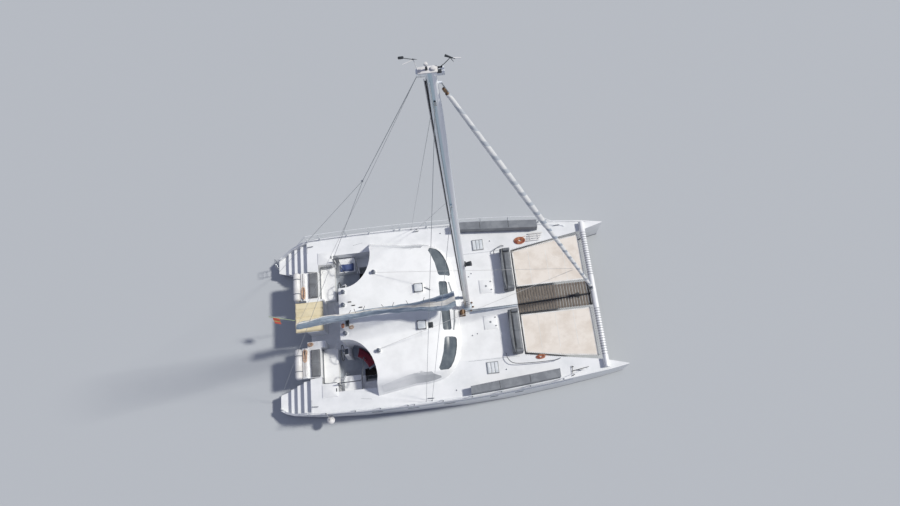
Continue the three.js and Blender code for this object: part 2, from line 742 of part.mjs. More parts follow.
// Forward crossbeam with the fitting that carries the forestay
function crossbeam() {
  const y = 3600;
  const z = DECK_Z + BEAM_RADIUS + SEAT;
  const tube = bar([BEAM_X, -y, z], [BEAM_X, y, z], BEAM_RADIUS, BEAM_RADIUS, 16);
  const lug = box(BEAM_X - 130, BEAM_X - 10, -20, 20, z + 80, STAY_FOOT[2] - 4.8);
  return tube.add(lug);
}
add("crossbeam", crossbeam(), alloy);

// Trampolines laced between the hulls, the crossbeam, the catwalk and the bridge deck
const CATWALK_HALF = 600;
function trampoline() {
  const margin = 2;
  const outline = [
    [BRIDGE_FORE_X + SEAT, CATWALK_HALF + SEAT],
    [BEAM_X, CATWALK_HALF + SEAT],
    [BEAM_X, innerDeckY(BEAM_X) - margin / 4],
    [BRIDGE_FORE_X + SEAT, innerDeckY(BRIDGE_FORE_X) - margin / 4],
  ];
  return prism(outline, DECK_Z - 16, DECK_Z);
}
addPair("trampoline", trampoline(), netCloth);

function catwalk() {
  const rails = box(BRIDGE_FORE_X + SEAT, BEAM_X, -CATWALK_HALF, CATWALK_HALF, DECK_Z - 90, DECK_Z - 25);
  const tread = box(BRIDGE_FORE_X + SEAT, BEAM_X, -CATWALK_HALF, CATWALK_HALF, DECK_Z - 30, DECK_Z);
  return rails.add(tread);
}
add("catwalk", catwalk(), slats);

// Sofas on the foredeck, facing forward: seat, back and an arm at each end
const SOFA_AFT_X = 2990;
const SOFA_FORE_X = 3490;
const SOFA_INNER_Y = 500;
const SOFA_OUTER_Y = 2560;
const SOFA_SEAT_Z = 2120;
const SOFA_CUSHION = 140; // thickness of its back and arms
function sofa() {
  const base = box(SOFA_AFT_X, SOFA_FORE_X, SOFA_INNER_Y, SOFA_OUTER_Y, DECK_Z + SEAT, SOFA_SEAT_Z);
  const low = SOFA_SEAT_Z - 20;
  const back = box(SOFA_AFT_X, SOFA_AFT_X + SOFA_CUSHION, SOFA_INNER_Y, SOFA_OUTER_Y, low, SOFA_SEAT_Z + 210);
  const arms = [SOFA_INNER_Y, SOFA_OUTER_Y - SOFA_CUSHION].map((y) => {
    return box(SOFA_AFT_X, SOFA_FORE_X, y, y + SOFA_CUSHION, low, SOFA_SEAT_Z + 180);
  });
  return join(base, back, ...arms);
}
addPair("foredeck_sofa", sofa(), greyMesh);

// Long benches along the side decks. Columns: x, inner y, outer y
const SIDE_BENCH_STATIONS = [[870, 3850, 4200], [2500, 3700, 4095], [5000, 3490, 3870]];
const SIDE_BENCH_TOP_Z = 2180;
function sideBench() {
  const rings = SIDE_BENCH_STATIONS.map(([x, inner, outer]) => [
    [x, inner, DECK_Z + SEAT],
    [x, outer, DECK_Z + SEAT],
    [x, outer, SIDE_BENCH_TOP_Z],
    [x, inner, SIDE_BENCH_TOP_Z],
  ]);
  return loft(rings);
}
addPair("side_bench", sideBench(), greyMesh);

// Guard rails. Columns: x of each post, from aft to forward
const RAIL_POSTS = [-6480, -5870, -4500, -3350, -2080, -1780, -450, 900, 2250, 3600, 5150];
function outerDeckY(x) {
  const upper = HULL_STATIONS.findIndex(([sx]) => sx > x);
  const [x0, y0] = HULL_STATIONS[upper - 1];
  const [x1, y1] = HULL_STATIONS[upper];
  return THREE.MathUtils.mapLinear(x, x0, x1, y0, y1);
}

// A thin tube that runs forward through the points
function longTube(points, radius) {
  const sides = 6;
  return loft(points.map(([x, y, z]) => {
    return Array.from({ length: sides }, (_, i) => {
      const angle = (i / sides) * 2 * Math.PI;
      return [x, y + radius * Math.cos(angle), z + radius * Math.sin(angle)];
    });
  }));
}

const RAIL_TOP_Z = 2370;
const RAIL_MID_Z = 2060;
const RAIL_AFT_X = -7150; // where it comes down on the coaming
const RAIL_TUBE = 14;
const RAIL_LEAN = 10; // how far inside the deck edge the top rail runs
function guardRail() {
  const posts = RAIL_POSTS.map((x) => {
    const y = outerDeckY(x);
    return bar([x, y - 88, DECK_Z + TOE_RAIL / 2], [x, y - RAIL_LEAN, RAIL_TOP_Z], RAIL_TUBE, RAIL_TUBE, 6);
  });
  const feet = RAIL_POSTS.map((x) => {
    const y = outerDeckY(x);
    return box(x - 35, x + 35, y - 105, y - 71, DECK_Z + SEAT, DECK_Z + 35);
  });
  const aftFoot = [RAIL_AFT_X, outerDeckY(RAIL_AFT_X) - 60, coamingZ(RAIL_AFT_X) + 18];
  const foreFoot = [6350, 3560, DECK_Z + 20];
  const along = RAIL_POSTS.map((x) => [x, outerDeckY(x) - RAIL_LEAN, RAIL_TOP_Z]);
  const rail = longTube([aftFoot, ...along, foreFoot], RAIL_TUBE);
  const wire = longTube(RAIL_POSTS.map((x) => [x, outerDeckY(x) - 52, RAIL_MID_Z]), 8);
  const pad = box(6300, 6400, 3520, 3600, DECK_Z + SEAT, DECK_Z + 25);
  return join(...posts, ...feet, rail, wire, pad);
}
addPair("guard_rail", guardRail(), steel);

// Mast with its heel, masthead crane and the boom's gooseneck
function mastCentreX(z) {
  return MAST_X - (MAST_RAKE * (z - DECK_Z)) / (MAST_TOP_Z - DECK_Z);
}

function mastRing(z, scale = 1) {
  const sides = 14;
  return Array.from({ length: sides }, (_, i) => {
    const angle = (i / sides) * 2 * Math.PI;
    return [
      mastCentreX(z) + (MAST_CHORD / 2) * scale * Math.cos(angle),
      (MAST_WIDTH / 2) * scale * Math.sin(angle),
      z,
    ];
  });
}

function mast() {
  const tube = verticalLoft([mastRing(DECK_Z + SEAT), mastRing(19000), mastRing(MAST_TOP_Z, 0.8)]);
  const heel = box(MAST_X - 230, MAST_X + 230, -150, 150, DECK_Z + SEAT, DECK_Z + 60);
  const topX = mastCentreX(MAST_TOP_Z);
  const crane = box(topX - 300, topX + 300, -60, 60, MAST_TOP_Z - 140, MAST_TOP_Z);
  const hound = [[CAP_HOUND_Z, 60], [LOWER_HOUND_Z, 80]].map(([z, y]) => {
    return box(mastCentreX(z) - 40, mastCentreX(z) + 40, -y - 40, y + 40, z - 60, z + 60);
  });
  const stayTang = box(mastCentreX(STAY_TANG_Z), STAY_HEAD[0] + 35, -15, 15, STAY_TANG_Z, STAY_TANG_Z + 50);
  const cheek = box(BOOM_PIVOT_X - 35, MAST_X, -60, 60, BOOM_Z - 150, BOOM_Z - 90);
  const pin = bar([BOOM_PIVOT_X, 0, BOOM_Z - 120], [BOOM_PIVOT_X, 0, BOOM_Z + 30], 15, 15, 12);
  const bracket = box(MAST_X + 40, MAST_X + 260, -60, 60, 7980, 8060);
  return join(tube, heel, crane, ...hound, stayTang, cheek, pin, bracket);
}
add("mast", mast(), alloy);

// Boom and the stacked sail in its bag. Both are made along -X from the pivot, then swung out.
const rig = new THREE.Group();
rig.position.set(BOOM_PIVOT_X, 0, BOOM_Z);
rig.rotation.z = BOOM_ANGLE;
boat.add(rig);

const BOOM_TOP = 60;
function boom() {
  const section = [[-55, -90], [55, -90], [75, -30], [60, BOOM_TOP], [-60, BOOM_TOP], [-75, -30]];
  const rings = [-BOOM_LENGTH, -80].map((x) => section.map(([y, z]) => [x, y, z]));
  const eye = box(-110, 40, -40, 40, -89.6, 20);
  const bore = bar([0, 0, -200], [0, 0, 200], 15.6, 15.6, 12);
  return loft(rings).add(eye).subtract(bore);
}
add("boom", boom(), alloy, rig);

// The sail's weight pulls the bag to starboard in its forward half.
// Columns: x along the boom, how far the bag's middle lies to port, half width, height
const BAG_STATIONS = [
  [-6600, 90, 120, 180],
  [-6300, 105, 165, 240],
  [-5900, 85, 190, 280],
  [-5450, 30, 160, 300],
  [-4900, 25, 145, 310],
  [-4300, 40, 150, 330],
  [-3600, 15, 150, 370],
  [-2800, -70, 185, 430],
  [-2000, -135, 220, 500],
  [-1300, -200, 330, 590],
  [-750, -225, 395, 690],
  [-260, -150, 330, 820],
];
function sailBag() {
  const sides = 16;
  const rings = BAG_STATIONS.map(([x, middle, half, height]) => {
    return Array.from({ length: sides }, (_, i) => {
      const angle = (i / sides) * 2 * Math.PI;
      return [x, middle + half * Math.cos(angle), BOOM_TOP + SEAT + (height / 2) * (1 + Math.sin(angle))];
    });
  });
  return loft(rings);
}
add("sail_bag", sailBag(), sailCover, rig);

// Headsail rolled on the forestay, with the furling drum at its foot
function alongStay(share) {
  return STAY_FOOT.map((value, i) => THREE.MathUtils.lerp(value, STAY_HEAD[i], share));
}
function furledSail() {
  const roll = bar(alongStay(0.055), alongStay(0.5), 100, 95, 12);
  const upper = bar(alongStay(0.499), alongStay(0.975), 95, 55, 12);
  return roll.add(upper);
}
const stayEnd = (STAY_TANG_Z - 5 - STAY_FOOT[2]) / (STAY_HEAD[2] - STAY_FOOT[2]);
const stayCore = bar(STAY_FOOT, alongStay(stayEnd), 14, 14, 8);
const stayBore = bar(alongStay(-0.01), alongStay(1.01), 15, 15, 8);
const drum = bar(alongStay(0.03), alongStay(0.042), 110, 110, 16);
add("forestay", stayCore.add(drum), blackAlloy);
add("headsail", furledSail().subtract(stayBore), sailCloth);

// Shrouds and backstay: one wire each, from a fitting near the masthead to the deck
const CAP_FOOT = [-1230, 4270, DECK_Z + 70];
const LOWER_FOOT = [-960, 4250, DECK_Z + 70];
function shroud(foot, head) {
  const plate = box(foot[0] - 40, foot[0] + 40, foot[1] - 12, foot[1] + 12, DECK_Z + SEAT, foot[2] + 20);
  return bar(foot, head, 8, 8, 8).add(plate);
}
addPair("cap_shroud", shroud(CAP_FOOT, [mastCentreX(CAP_HOUND_Z), 108.2, CAP_HOUND_Z - 30]), steel);
addPair("lower_shroud", shroud(LOWER_FOOT, [mastCentreX(LOWER_HOUND_Z), 128, LOWER_HOUND_Z - 30]), steel);

const BRIDLE = [-1370, 0, 16070];
const LEG_FOOT = [STERN_X - 22, 3200, PLATFORM_Z - 10]; // on the upright face under the lowest step
function backstay() {
  const wire = bar(BRIDLE, [mastCentreX(MAST_TOP_Z) - 280, 0, MAST_TOP_Z - 144], 9, 9, 8);
  const link = box(BRIDLE[0] - 35, BRIDLE[0] + 20, -20, 20, BRIDLE[2] - 18, BRIDLE[2] + 15);
  return wire.add(link);
}
add("backstay", backstay(), steel);
function backstayLeg() {
  const [x, y, z] = LEG_FOOT;
  const plate = box(x - 8, STERN_X - SEAT, y - 20, y + 20, z - 70, z + 12);
  return bar(LEG_FOOT, [BRIDLE[0] - 8, 12, BRIDLE[2] - 22], 7, 7, 8).add(plate);
}
addPair("backstay_leg", backstayLeg(), steel);

// Anchor gear: windlass, and the anchor on its pole along the catwalk
function windlass() {
  const base = box(WINDLASS_FORE_X - 270, WINDLASS_FORE_X, -470, -170, DECK_Z + SEAT, DECK_Z + 80);
  const x = WINDLASS_FORE_X - 135;
  const drumPiece = bar([x, -460, DECK_Z + 140], [x, -180, DECK_Z + 140], 80, 80, 16);
  return base.add(drumPiece);
}
add("windlass", windlass(), blackAlloy);

function anchor() {
  const start = [3600, -200, DECK_Z + 40];
  const pole = bar(start, [7000, -60, DECK_Z + 45], 38, 38, 8);
  const shank = box(6100, 7050, -90, -40, DECK_Z + SEAT, DECK_Z + 60);
  const fluke = prism([[6080, -60], [6500, -200], [6560, -60], [6500, 80]], DECK_Z + SEAT, DECK_Z + 30);
  return join(pole, shank, fluke);
}
add("anchor", anchor(), blackAlloy);

// Rudders under the sterns
function rudder() {
  const stock = bar([RUDDER_X, HULL_Y, RUDDER_TOP_Z - 40], [RUDDER_X, HULL_Y, 59], 35.2, 35.2, 16);
  const blade = verticalLoft(
    [[RUDDER_TOP_Z, 1], [RUDDER_TOP_Z - RUDDER_DEPTH, 0.7]].map(([z, scale]) => {
      const fore = RUDDER_X + 0.27 * RUDDER_CHORD * scale;
      const aft = fore - RUDDER_CHORD * scale;
      const half = 38 * scale;
      return [[fore, 0], [fore - 70, half], [RUDDER_X, half], [aft, 0], [RUDDER_X, -half], [fore - 70, -half]].map(
        ([x, y]) => [x, HULL_Y + y, z],
      );
    }),
  );
  return stock.add(blade);
}
addPair("rudder", rudder(), gelcoat);

function propeller() {
  const hub = bar([PROP_X + 59, HULL_Y, DRIVE_Z], [PROP_X - 90, HULL_Y, DRIVE_Z], 60, 30, 12);
  const bore = bar([PROP_X + 80, HULL_Y, DRIVE_Z], [PROP_X - 25, HULL_Y, DRIVE_Z], 14.8, 14.8, 12);
  const blades = [0, 1, 2].map((i) => {
    const blade = new THREE.BoxGeometry(16, 110, 190);
    blade.rotateZ(THREE.MathUtils.degToRad(35));
    blade.translate(0, 0, 130);
    blade.rotateX((i / 3) * 2 * Math.PI);
    blade.translate(PROP_X, HULL_Y, DRIVE_Z);
    return solid(blade);
  });
  return join(hub, ...blades).subtract(bore);
}
addPair("propeller", propeller(), bronze);

// Folding swim ladder on the port stern, stowed upright. It turns on a pin held by two lugs.
function swimLadder() {
  const rails = LADDER_RAILS.map((y) => bar([LADDER_X, y, LADDER_PIN_Z - 8], [LADDER_X, y, LADDER_TOP_Z], 14, 14, 8));
  const rungs = [10, 220, 460].map((drop) => {
    const z = LADDER_TOP_Z - drop;
    return bar([LADDER_X, LADDER_RAILS[0], z], [LADDER_X, LADDER_RAILS[1], z], 12, 12, 8);
  });
  const pin = bar([LADDER_X, LADDER_RAILS[0], LADDER_PIN_Z], [LADDER_X, LADDER_RAILS[1], LADDER_PIN_Z], 9, 9, 12);
  return join(...rails, ...rungs, pin);
}
add("swim_ladder", swimLadder(), steel);

// Flagstaff on the aft shelf and the round fender at the starboard quarter
const STAFF_FOOT = [-7185, 260, 1660];
const STAFF_TOP = [-8160, 290, 2790];
function flagstaff() {
  const socket = box(STAFF_FOOT[0] - 30, SHELF_AFT_X - SEAT, 220, 300, 1610, 1700);
  return bar(STAFF_FOOT, STAFF_TOP, 13, 13, 8).add(socket);
}
add("flagstaff", flagstaff(), steel);

const FENDER_X = -5820;
const FENDER_RADIUS = 190;
const FENDER_Z = 1000;
function fender() {
  const radius = FENDER_RADIUS;
  const side = -outerDeckY(FENDER_X);
  const ballY = side - radius - 1;
  const ball = new THREE.IcosahedronGeometry(radius, 3);
  ball.translate(FENDER_X, ballY, FENDER_Z);
  const neck = bar([FENDER_X, ballY, FENDER_Z + 150], [FENDER_X, ballY + 10, FENDER_Z + 240], 30, 22, 10);
  const line = bar([FENDER_X, ballY + 8, FENDER_Z + 230], [FENDER_X, side - 20, FENDER_Z + 775], 9, 9, 6);
  const hook = box(FENDER_X - 12, FENDER_X + 12, side - 30, side + 50, DECK_Z + TOE_RAIL + 0.4, 1785);
  return join(solid(ball), neck, line, hook);
}
add("fender", fender(), whitePlastic);

export default boat;
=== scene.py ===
import json
import math
import random

import bmesh
import bpy
from mathutils import Matrix, Vector, noise
from mathutils.bvhtree import BVHTree

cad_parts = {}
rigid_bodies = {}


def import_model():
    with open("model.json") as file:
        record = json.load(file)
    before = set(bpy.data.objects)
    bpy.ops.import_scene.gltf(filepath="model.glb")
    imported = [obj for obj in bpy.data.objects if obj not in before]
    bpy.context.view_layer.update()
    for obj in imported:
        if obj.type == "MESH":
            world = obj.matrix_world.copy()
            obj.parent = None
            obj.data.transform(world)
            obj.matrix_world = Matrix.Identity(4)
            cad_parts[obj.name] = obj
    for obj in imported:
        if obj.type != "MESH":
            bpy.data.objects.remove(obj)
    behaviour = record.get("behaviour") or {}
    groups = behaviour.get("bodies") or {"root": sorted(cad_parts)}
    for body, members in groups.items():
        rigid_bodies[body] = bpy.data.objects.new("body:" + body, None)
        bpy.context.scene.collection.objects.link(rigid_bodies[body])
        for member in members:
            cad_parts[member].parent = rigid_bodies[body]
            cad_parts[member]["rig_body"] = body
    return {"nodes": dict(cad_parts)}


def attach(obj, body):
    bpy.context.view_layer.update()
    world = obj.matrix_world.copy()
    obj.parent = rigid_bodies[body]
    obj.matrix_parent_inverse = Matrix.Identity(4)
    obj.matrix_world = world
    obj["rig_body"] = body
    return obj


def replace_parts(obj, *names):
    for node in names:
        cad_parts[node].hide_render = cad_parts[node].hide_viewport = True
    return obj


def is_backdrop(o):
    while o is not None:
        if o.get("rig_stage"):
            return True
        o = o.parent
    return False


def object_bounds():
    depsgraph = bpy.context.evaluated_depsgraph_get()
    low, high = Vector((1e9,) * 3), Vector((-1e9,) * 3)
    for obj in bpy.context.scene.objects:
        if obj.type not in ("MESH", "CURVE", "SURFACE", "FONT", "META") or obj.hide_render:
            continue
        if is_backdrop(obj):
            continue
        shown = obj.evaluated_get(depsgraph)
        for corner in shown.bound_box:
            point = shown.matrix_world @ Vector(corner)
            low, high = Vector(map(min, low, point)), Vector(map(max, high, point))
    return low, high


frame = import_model()
cad_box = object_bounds()


# Camera and studio
# The camera stands where the photograph's stood, high above the deck and a little to
# starboard. The floor is a plain pale sheet at the waterline, under one soft lamp.
CAMERA_PLACE = Vector((1.027, -8.115, 32.005))
CAMERA_RIGHT = Vector((0.99343, -0.10227, -0.05132)).normalized()
CAMERA_DOWN = Vector((-0.11361, -0.93511, -0.33565)).normalized()
FOCAL_SHARE = 650.06 / 900  # focal length as a share of the picture's width
CAMERA_REACH = 500
FLOOR_SIZE = 160
LAMP_TRAVEL = Vector((-0.915, -0.103, -1.0))  # from ahead, a little to port
LAMP_ANGLE = math.radians(5)
LAMP_POWER, LAMP_COLOUR = 3.12, (1.0, 0.975, 0.915)
STUDIO_POWER = 0.345


def linear(text):
    """An sRGB hex colour as linear red, green, blue and alpha."""
    channels = [int(text[i : i + 2], 16) / 255 for i in (1, 3, 5)]
    return [c / 12.92 if c <= 0.04045 else ((c + 0.055) / 1.055) ** 2.4 for c in channels] + [1]


def add(material, kind, settings=None, links=None):
    """A new node with its settings, and its inputs, by name or number, linked from outputs."""
    node = material.node_tree.nodes.new("ShaderNode" + kind)
    for key, value in (settings or {}).items():
        if hasattr(node, str(key)):
            setattr(node, key, value)
    for key, value in (settings or {}).items():
        if not hasattr(node, str(key)):
            node.inputs[key].default_value = value
    for key, source in (links or {}).items():
        material.node_tree.links.new(source, node.inputs[key])
    return node


def start_material(name, colour, roughness, metallic=0.0, **shader_values):
    """A material with one shader on its output, and the shader itself."""
    material = bpy.data.materials.new(name)
    material.use_nodes = True
    material.node_tree.nodes.clear()
    values = {"Base Color": linear(colour), "Roughness": roughness, "Metallic": metallic}
    values.update({key.replace("_", " "): value for key, value in shader_values.items()})
    shader = add(material, "BsdfPrincipled", values)
    add(material, "OutputMaterial", links={"Surface": shader.outputs["BSDF"]})
    return material, shader


def in_scene(name, data):
    """A new object linked into the scene."""
    thing = bpy.data.objects.new(name, data)
    bpy.context.scene.collection.objects.link(thing)
    return thing


camera = in_scene("camera", bpy.data.cameras.new("camera"))
axes = (CAMERA_RIGHT, -CAMERA_DOWN, -CAMERA_RIGHT.cross(CAMERA_DOWN))
camera.matrix_world = Matrix.Translation(CAMERA_PLACE) @ Matrix(axes).transposed().to_4x4()
camera.data.lens = camera.data.sensor_width * FOCAL_SHARE
camera.data.clip_end = CAMERA_REACH
bpy.context.scene.camera = camera

lamp = in_scene("lamp", bpy.data.lights.new("lamp", "SUN"))
lamp.rotation_euler = LAMP_TRAVEL.to_track_quat("-Z", "Y").to_euler()
lamp.data.energy, lamp.data.color, lamp.data.angle = LAMP_POWER, LAMP_COLOUR, LAMP_ANGLE
world = bpy.data.worlds.new("studio")
world.use_nodes = True
world.node_tree.nodes["Background"].inputs["Color"].default_value = linear("#D3DCFF")
world.node_tree.nodes["Background"].inputs["Strength"].default_value = STUDIO_POWER
bpy.context.scene.world = world
bpy.context.scene.view_settings.view_transform = "Standard"

floor_mesh = bpy.data.meshes.new("floor")
floor_shape = bmesh.new()
bmesh.ops.create_grid(floor_shape, x_segments=1, y_segments=1, size=FLOOR_SIZE / 2)
floor_shape.to_mesh(floor_mesh)
floor_shape.free()
floor = in_scene("floor", floor_mesh)
floor_mesh.materials.append(start_material("floor paint", "#B9BDC0", 0.9)[0])
floor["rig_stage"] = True


# Hulls
# Two moulded shells of glass fibre under white gelcoat, polished on the topsides, with a
# plain blue band at the sheer, a boot stripe, and dark bottom paint below the waterline.
# Oval portlights of dark acrylic are bonded into the outboard sides.
SIDES = (("port", 1), ("starboard", -1))
UP, ACROSS = (0, 0, 1), (0, 1, 0)
BAND_Z, BAND_X, BAND_Y = (1.36, 1.50), (-6.2, 5.6), 3.9
THIN_BAND_Z, THIN_BAND_X = (1.27, 1.31), (-5.9, 5.2)
BOOT_Z, KEEL_Z = (0.07, 0.15), -3.0
PORTLIGHTS = ((-3.6, 0.55), (-1.9, 0.55), (-0.2, 0.55), (1.9, 0.42), (3.1, 0.42))  # x, length
PORTLIGHT_Z, PORTLIGHT_HEIGHT, PORTLIGHT_PROUD, PORTLIGHT_DEPTH = 1.06, 0.17, 0.004, 0.012


def piece(name, shape, material, body="root", sharp_angle=35):
    """A finished object from a bmesh, riding on a body."""
    mesh = bpy.data.meshes.new(name)
    shape.to_mesh(mesh)
    shape.free()
    mesh.materials.append(material)
    mesh.shade_smooth()
    mesh.set_sharp_from_angle(angle=math.radians(sharp_angle))
    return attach(in_scene(name, mesh), body)


def smooth_copy(node_name, material, sharp_angle=35):
    """A merged, smoothly shaded copy that stands for a CAD node, crisp round its level faces."""
    node = frame["nodes"][node_name]
    shape = bmesh.new()
    shape.from_mesh(node.data)
    bmesh.ops.remove_doubles(shape, verts=shape.verts, dist=0.0001)
    copy = piece(node_name + ".smooth", shape, material, node["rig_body"], sharp_angle)
    level = {}
    for face in copy.data.polygons:
        for key in face.edge_keys:
            level.setdefault(key, []).append(face.normal.z > 0.9995)
    creases = copy.data.attributes.get("sharp_edge")
    creases = creases or copy.data.attributes.new("sharp_edge", "BOOLEAN", "EDGE")
    for edge in copy.data.edges:
        if len(set(level[edge.key])) > 1:
            creases.data[edge.index].value = True
    copy.modifiers.new("even shading", "WEIGHTED_NORMAL").keep_sharp = True
    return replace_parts(copy, node_name)


def tint(thing, material, inside):
    """Gives a second material to the faces whose centre a test finds inside."""
    thing.data.materials.append(material)
    number = len(thing.data.materials) - 1
    for face in thing.data.polygons:
        if inside(*face.center):
            face.material_index = number


def gather(*shapes):
    """Several bmeshes as one."""
    whole = bmesh.new()
    for shape in shapes:
        part = bpy.data.meshes.new("part")
        shape.to_mesh(part)
        shape.free()
        whole.from_mesh(part)
        bpy.data.meshes.remove(part)
    return whole


def slab(low, high, corner=0.0, rim=0.0):
    """A box between two corners, with its upright corners rounded and its rims softened."""
    shape = bmesh.new()
    size = Vector(high) - Vector(low)
    place = Matrix.LocRotScale((Vector(high) + Vector(low)) / 2, None, size)
    bmesh.ops.create_cube(shape, size=1, matrix=place)
    look = {"affect": "EDGES", "profile": 0.5, "material": -1}
    for offset, segments, upright in ((corner, 4, True), (rim, 2, False)):
        if offset:
            rises = [(e, abs(e.verts[0].co.z - e.verts[1].co.z) > size.z / 2) for e in shape.edges]
            edges = [e for e, rise in rises if rise == upright]
            look["clamp_overlap"] = not upright
            bmesh.ops.bevel(shape, geom=edges, offset=offset, segments=segments, **look)
    return shape


def rod(start, end, radius, end_radius=None, sides=12):
    """A round bar or cone between two points."""
    start, end = Vector(start), Vector(end)
    place = Matrix.Translation((start + end) / 2)
    turn = (end - start).to_track_quat("Z", "Y").to_matrix().to_4x4()
    radii = {"radius1": radius, "radius2": radius if end_radius is None else end_radius}
    size = {"segments": sides, "depth": (end - start).length, "matrix": place @ turn, **radii}
    shape = bmesh.new()
    bmesh.ops.create_cone(shape, cap_ends=True, **size)
    return shape


def joined(shape):
    """The same bmesh with all its faces looking outwards."""
    bmesh.ops.recalc_face_normals(shape, faces=shape.faces)
    return shape


def split(material, place):
    """The X, Y and Z of a place, each as an output."""
    return add(material, "SeparateXYZ", links={0: place}).outputs


def ranged(material, value, low, high, to_low=0.0, to_high=1.0):
    """A value moved from one range into another, held at its ends."""
    spans = {"From Min": low, "From Max": high, "To Min": to_low, "To Max": to_high}
    return add(material, "MapRange", spans, {"Value": value}).outputs["Result"]


def math_of(material, operation, first, second=None, value=None):
    """Two outputs, or an output and a number, worked into one."""
    links = {0: first} if second is None else {0: first, 1: second}
    settings = {"operation": operation} if value is None else {"operation": operation, 1: value}
    return add(material, "Math", settings, links).outputs["Value"]


def over(material, share, below, colour):
    """A colour laid over what is below it, by a share."""
    settings = {"data_type": "RGBA", 7: linear(colour)}
    return add(material, "Mix", settings, {"Factor": share, 6: below}).outputs[2]


def noise_of(material, place, scale, **settings):
    """The cloudy pattern at a place."""
    values = {"Scale": scale, **settings}
    return add(material, "TexNoise", values, {"Vector": place}).outputs["Fac"]


def bump(material, height, strength, distance, below=None):
    """A raised surface from a height, over what is below it."""
    links = {"Height": height} if below is None else {"Height": height, "Normal": below}
    return add(material, "Bump", {"Strength": strength, "Distance": distance}, links).outputs[0]


def link(material, source, socket):
    """Leads an output to a socket of the material's shader."""
    tree = material.node_tree
    shader = next(n for n in tree.nodes if n.type == "BSDF_PRINCIPLED")
    tree.links.new(source, shader.inputs[socket])


def drifting(name, tones, metres, roughness, metallic=0.0, **shader_values):
    """A material of two tones that drift into each other; returns it, its place and colour."""
    material = start_material(name, tones[0], roughness, metallic, **shader_values)[0]
    place = add(material, "TexCoord").outputs["Object"]
    cloud = noise_of(material, place, 1 / metres, Detail=6.0, Roughness=0.62)
    share = ranged(material, cloud, 0.42, 0.62)
    settings = {"data_type": "RGBA", 6: linear(tones[0]), 7: linear(tones[1])}
    colour = add(material, "Mix", settings, {"Factor": share}).outputs[2]
    link(material, colour, "Base Color")
    return material, place, colour


def grained(material, place, scale, strength, distance):
    """Presses a fine grain of small cells into the surface."""
    cells = add(material, "TexVoronoi", {"Scale": scale}, {"Vector": place}).outputs["Distance"]
    link(material, bump(material, cells, strength, distance), "Normal")


# gelcoat over glass fibre: glossy, chalked a little by the sun in soft clouds
gelcoat, gelcoat_place, _ = drifting(
    "polished white gelcoat", ("#F2F3F3", "#EBECEB"), 1.4, 0.28, Coat_Weight=0.15
)
gelcoat_dust = noise_of(gelcoat, gelcoat_place, 9.0, Detail=5.0)
link(gelcoat, ranged(gelcoat, gelcoat_dust, 0, 1, 0.22, 0.45), "Roughness")

# the same gelcoat on the topsides, with a painted sheer band, boot stripe and bottom paint
topsides, topsides_place, banded = drifting(
    "polished gelcoat with painted bands", ("#F2F3F3", "#E6E8E8"), 1.4, 0.25, Coat_Weight=0.2
)
hull_axes = split(topsides, topsides_place)


def stripe(heights, colour, below, ends=(-9.0, 9.0), outboard_y=0.0):
    """A painted band between two heights, over what lies below it; returns the colour."""
    far = math_of(topsides, "ABSOLUTE", hull_axes["Y"])
    share = math_of(topsides, "GREATER_THAN", far, value=outboard_y)
    for axis, (low, high) in (("Z", heights), ("X", ends)):
        for operation, limit in (("GREATER_THAN", low), ("LESS_THAN", high)):
            test = math_of(topsides, operation, hull_axes[axis], value=limit)
            share = math_of(topsides, "MULTIPLY", share, test)
    return over(topsides, share, below, colour)


banded = stripe(BAND_Z, "#5A6C9C", banded, BAND_X, BAND_Y)
banded = stripe(THIN_BAND_Z, "#93A5BF", banded, THIN_BAND_X, BAND_Y)
banded = stripe(BOOT_Z, "#3D4F80", banded)
banded = stripe((KEEL_Z, BOOT_Z[0]), "#2A3138", banded)
link(topsides, banded, "Base Color")

# cast acrylic, smoked: smooth and glossy, nearly black inside
acrylic = drifting(
    "smoked cast acrylic", ("#5A6269", "#6E767B"), 0.5, 0.2, Specular_IOR_Level=0.06
)[0]

for side, sign in SIDES:
    hull = smooth_copy("hull_" + side, topsides, 30)
    hull_tree = BVHTree.FromPolygons(
        [v.co for v in hull.data.vertices], [p.vertices for p in hull.data.polygons]
    )
    lights = []
    for x, length in PORTLIGHTS:
        light = bmesh.new()
        bmesh.ops.create_circle(light, cap_ends=True, segments=28, radius=0.5)
        for vert in light.verts:
            stretch = (length - PORTLIGHT_HEIGHT) / 2 * (1 if vert.co.x > 0 else -1)
            height = PORTLIGHT_Z + vert.co.y * PORTLIGHT_HEIGHT
            along = x + vert.co.x * PORTLIGHT_HEIGHT + stretch
            outside = Vector((along, 6 * sign, height))
            hit = hull_tree.ray_cast(outside, Vector((0, -sign, 0)))[0]
            vert.co = hit + Vector((0, PORTLIGHT_PROUD * sign, 0))
        grown = bmesh.ops.extrude_face_region(light, geom=light.faces[:])["geom"]
        moved = [g for g in grown if isinstance(g, bmesh.types.BMVert)]
        bmesh.ops.translate(light, vec=(0, -PORTLIGHT_DEPTH * sign, 0), verts=moved)
        lights.append(joined(light))
    piece("portlights_" + side, gather(*lights), acrylic)


# Bridge deck and cabin
# Moulded in the same glass fibre as the hulls, in chalky white gelcoat with fine non-slip
# moulded into the level faces. Dark glass is bonded behind the four front openings.
FRONT_BAND = ((0.50, 0.20), (0.46, 0.75), (0.37, 1.18))  # path of the thin moulding ahead
SOLE_TOP_Z, STAIR_TOP_Z = 1.65, 1.15
SKY, DOWN, SINK = 9, Vector((0, 0, -1)), 0.003


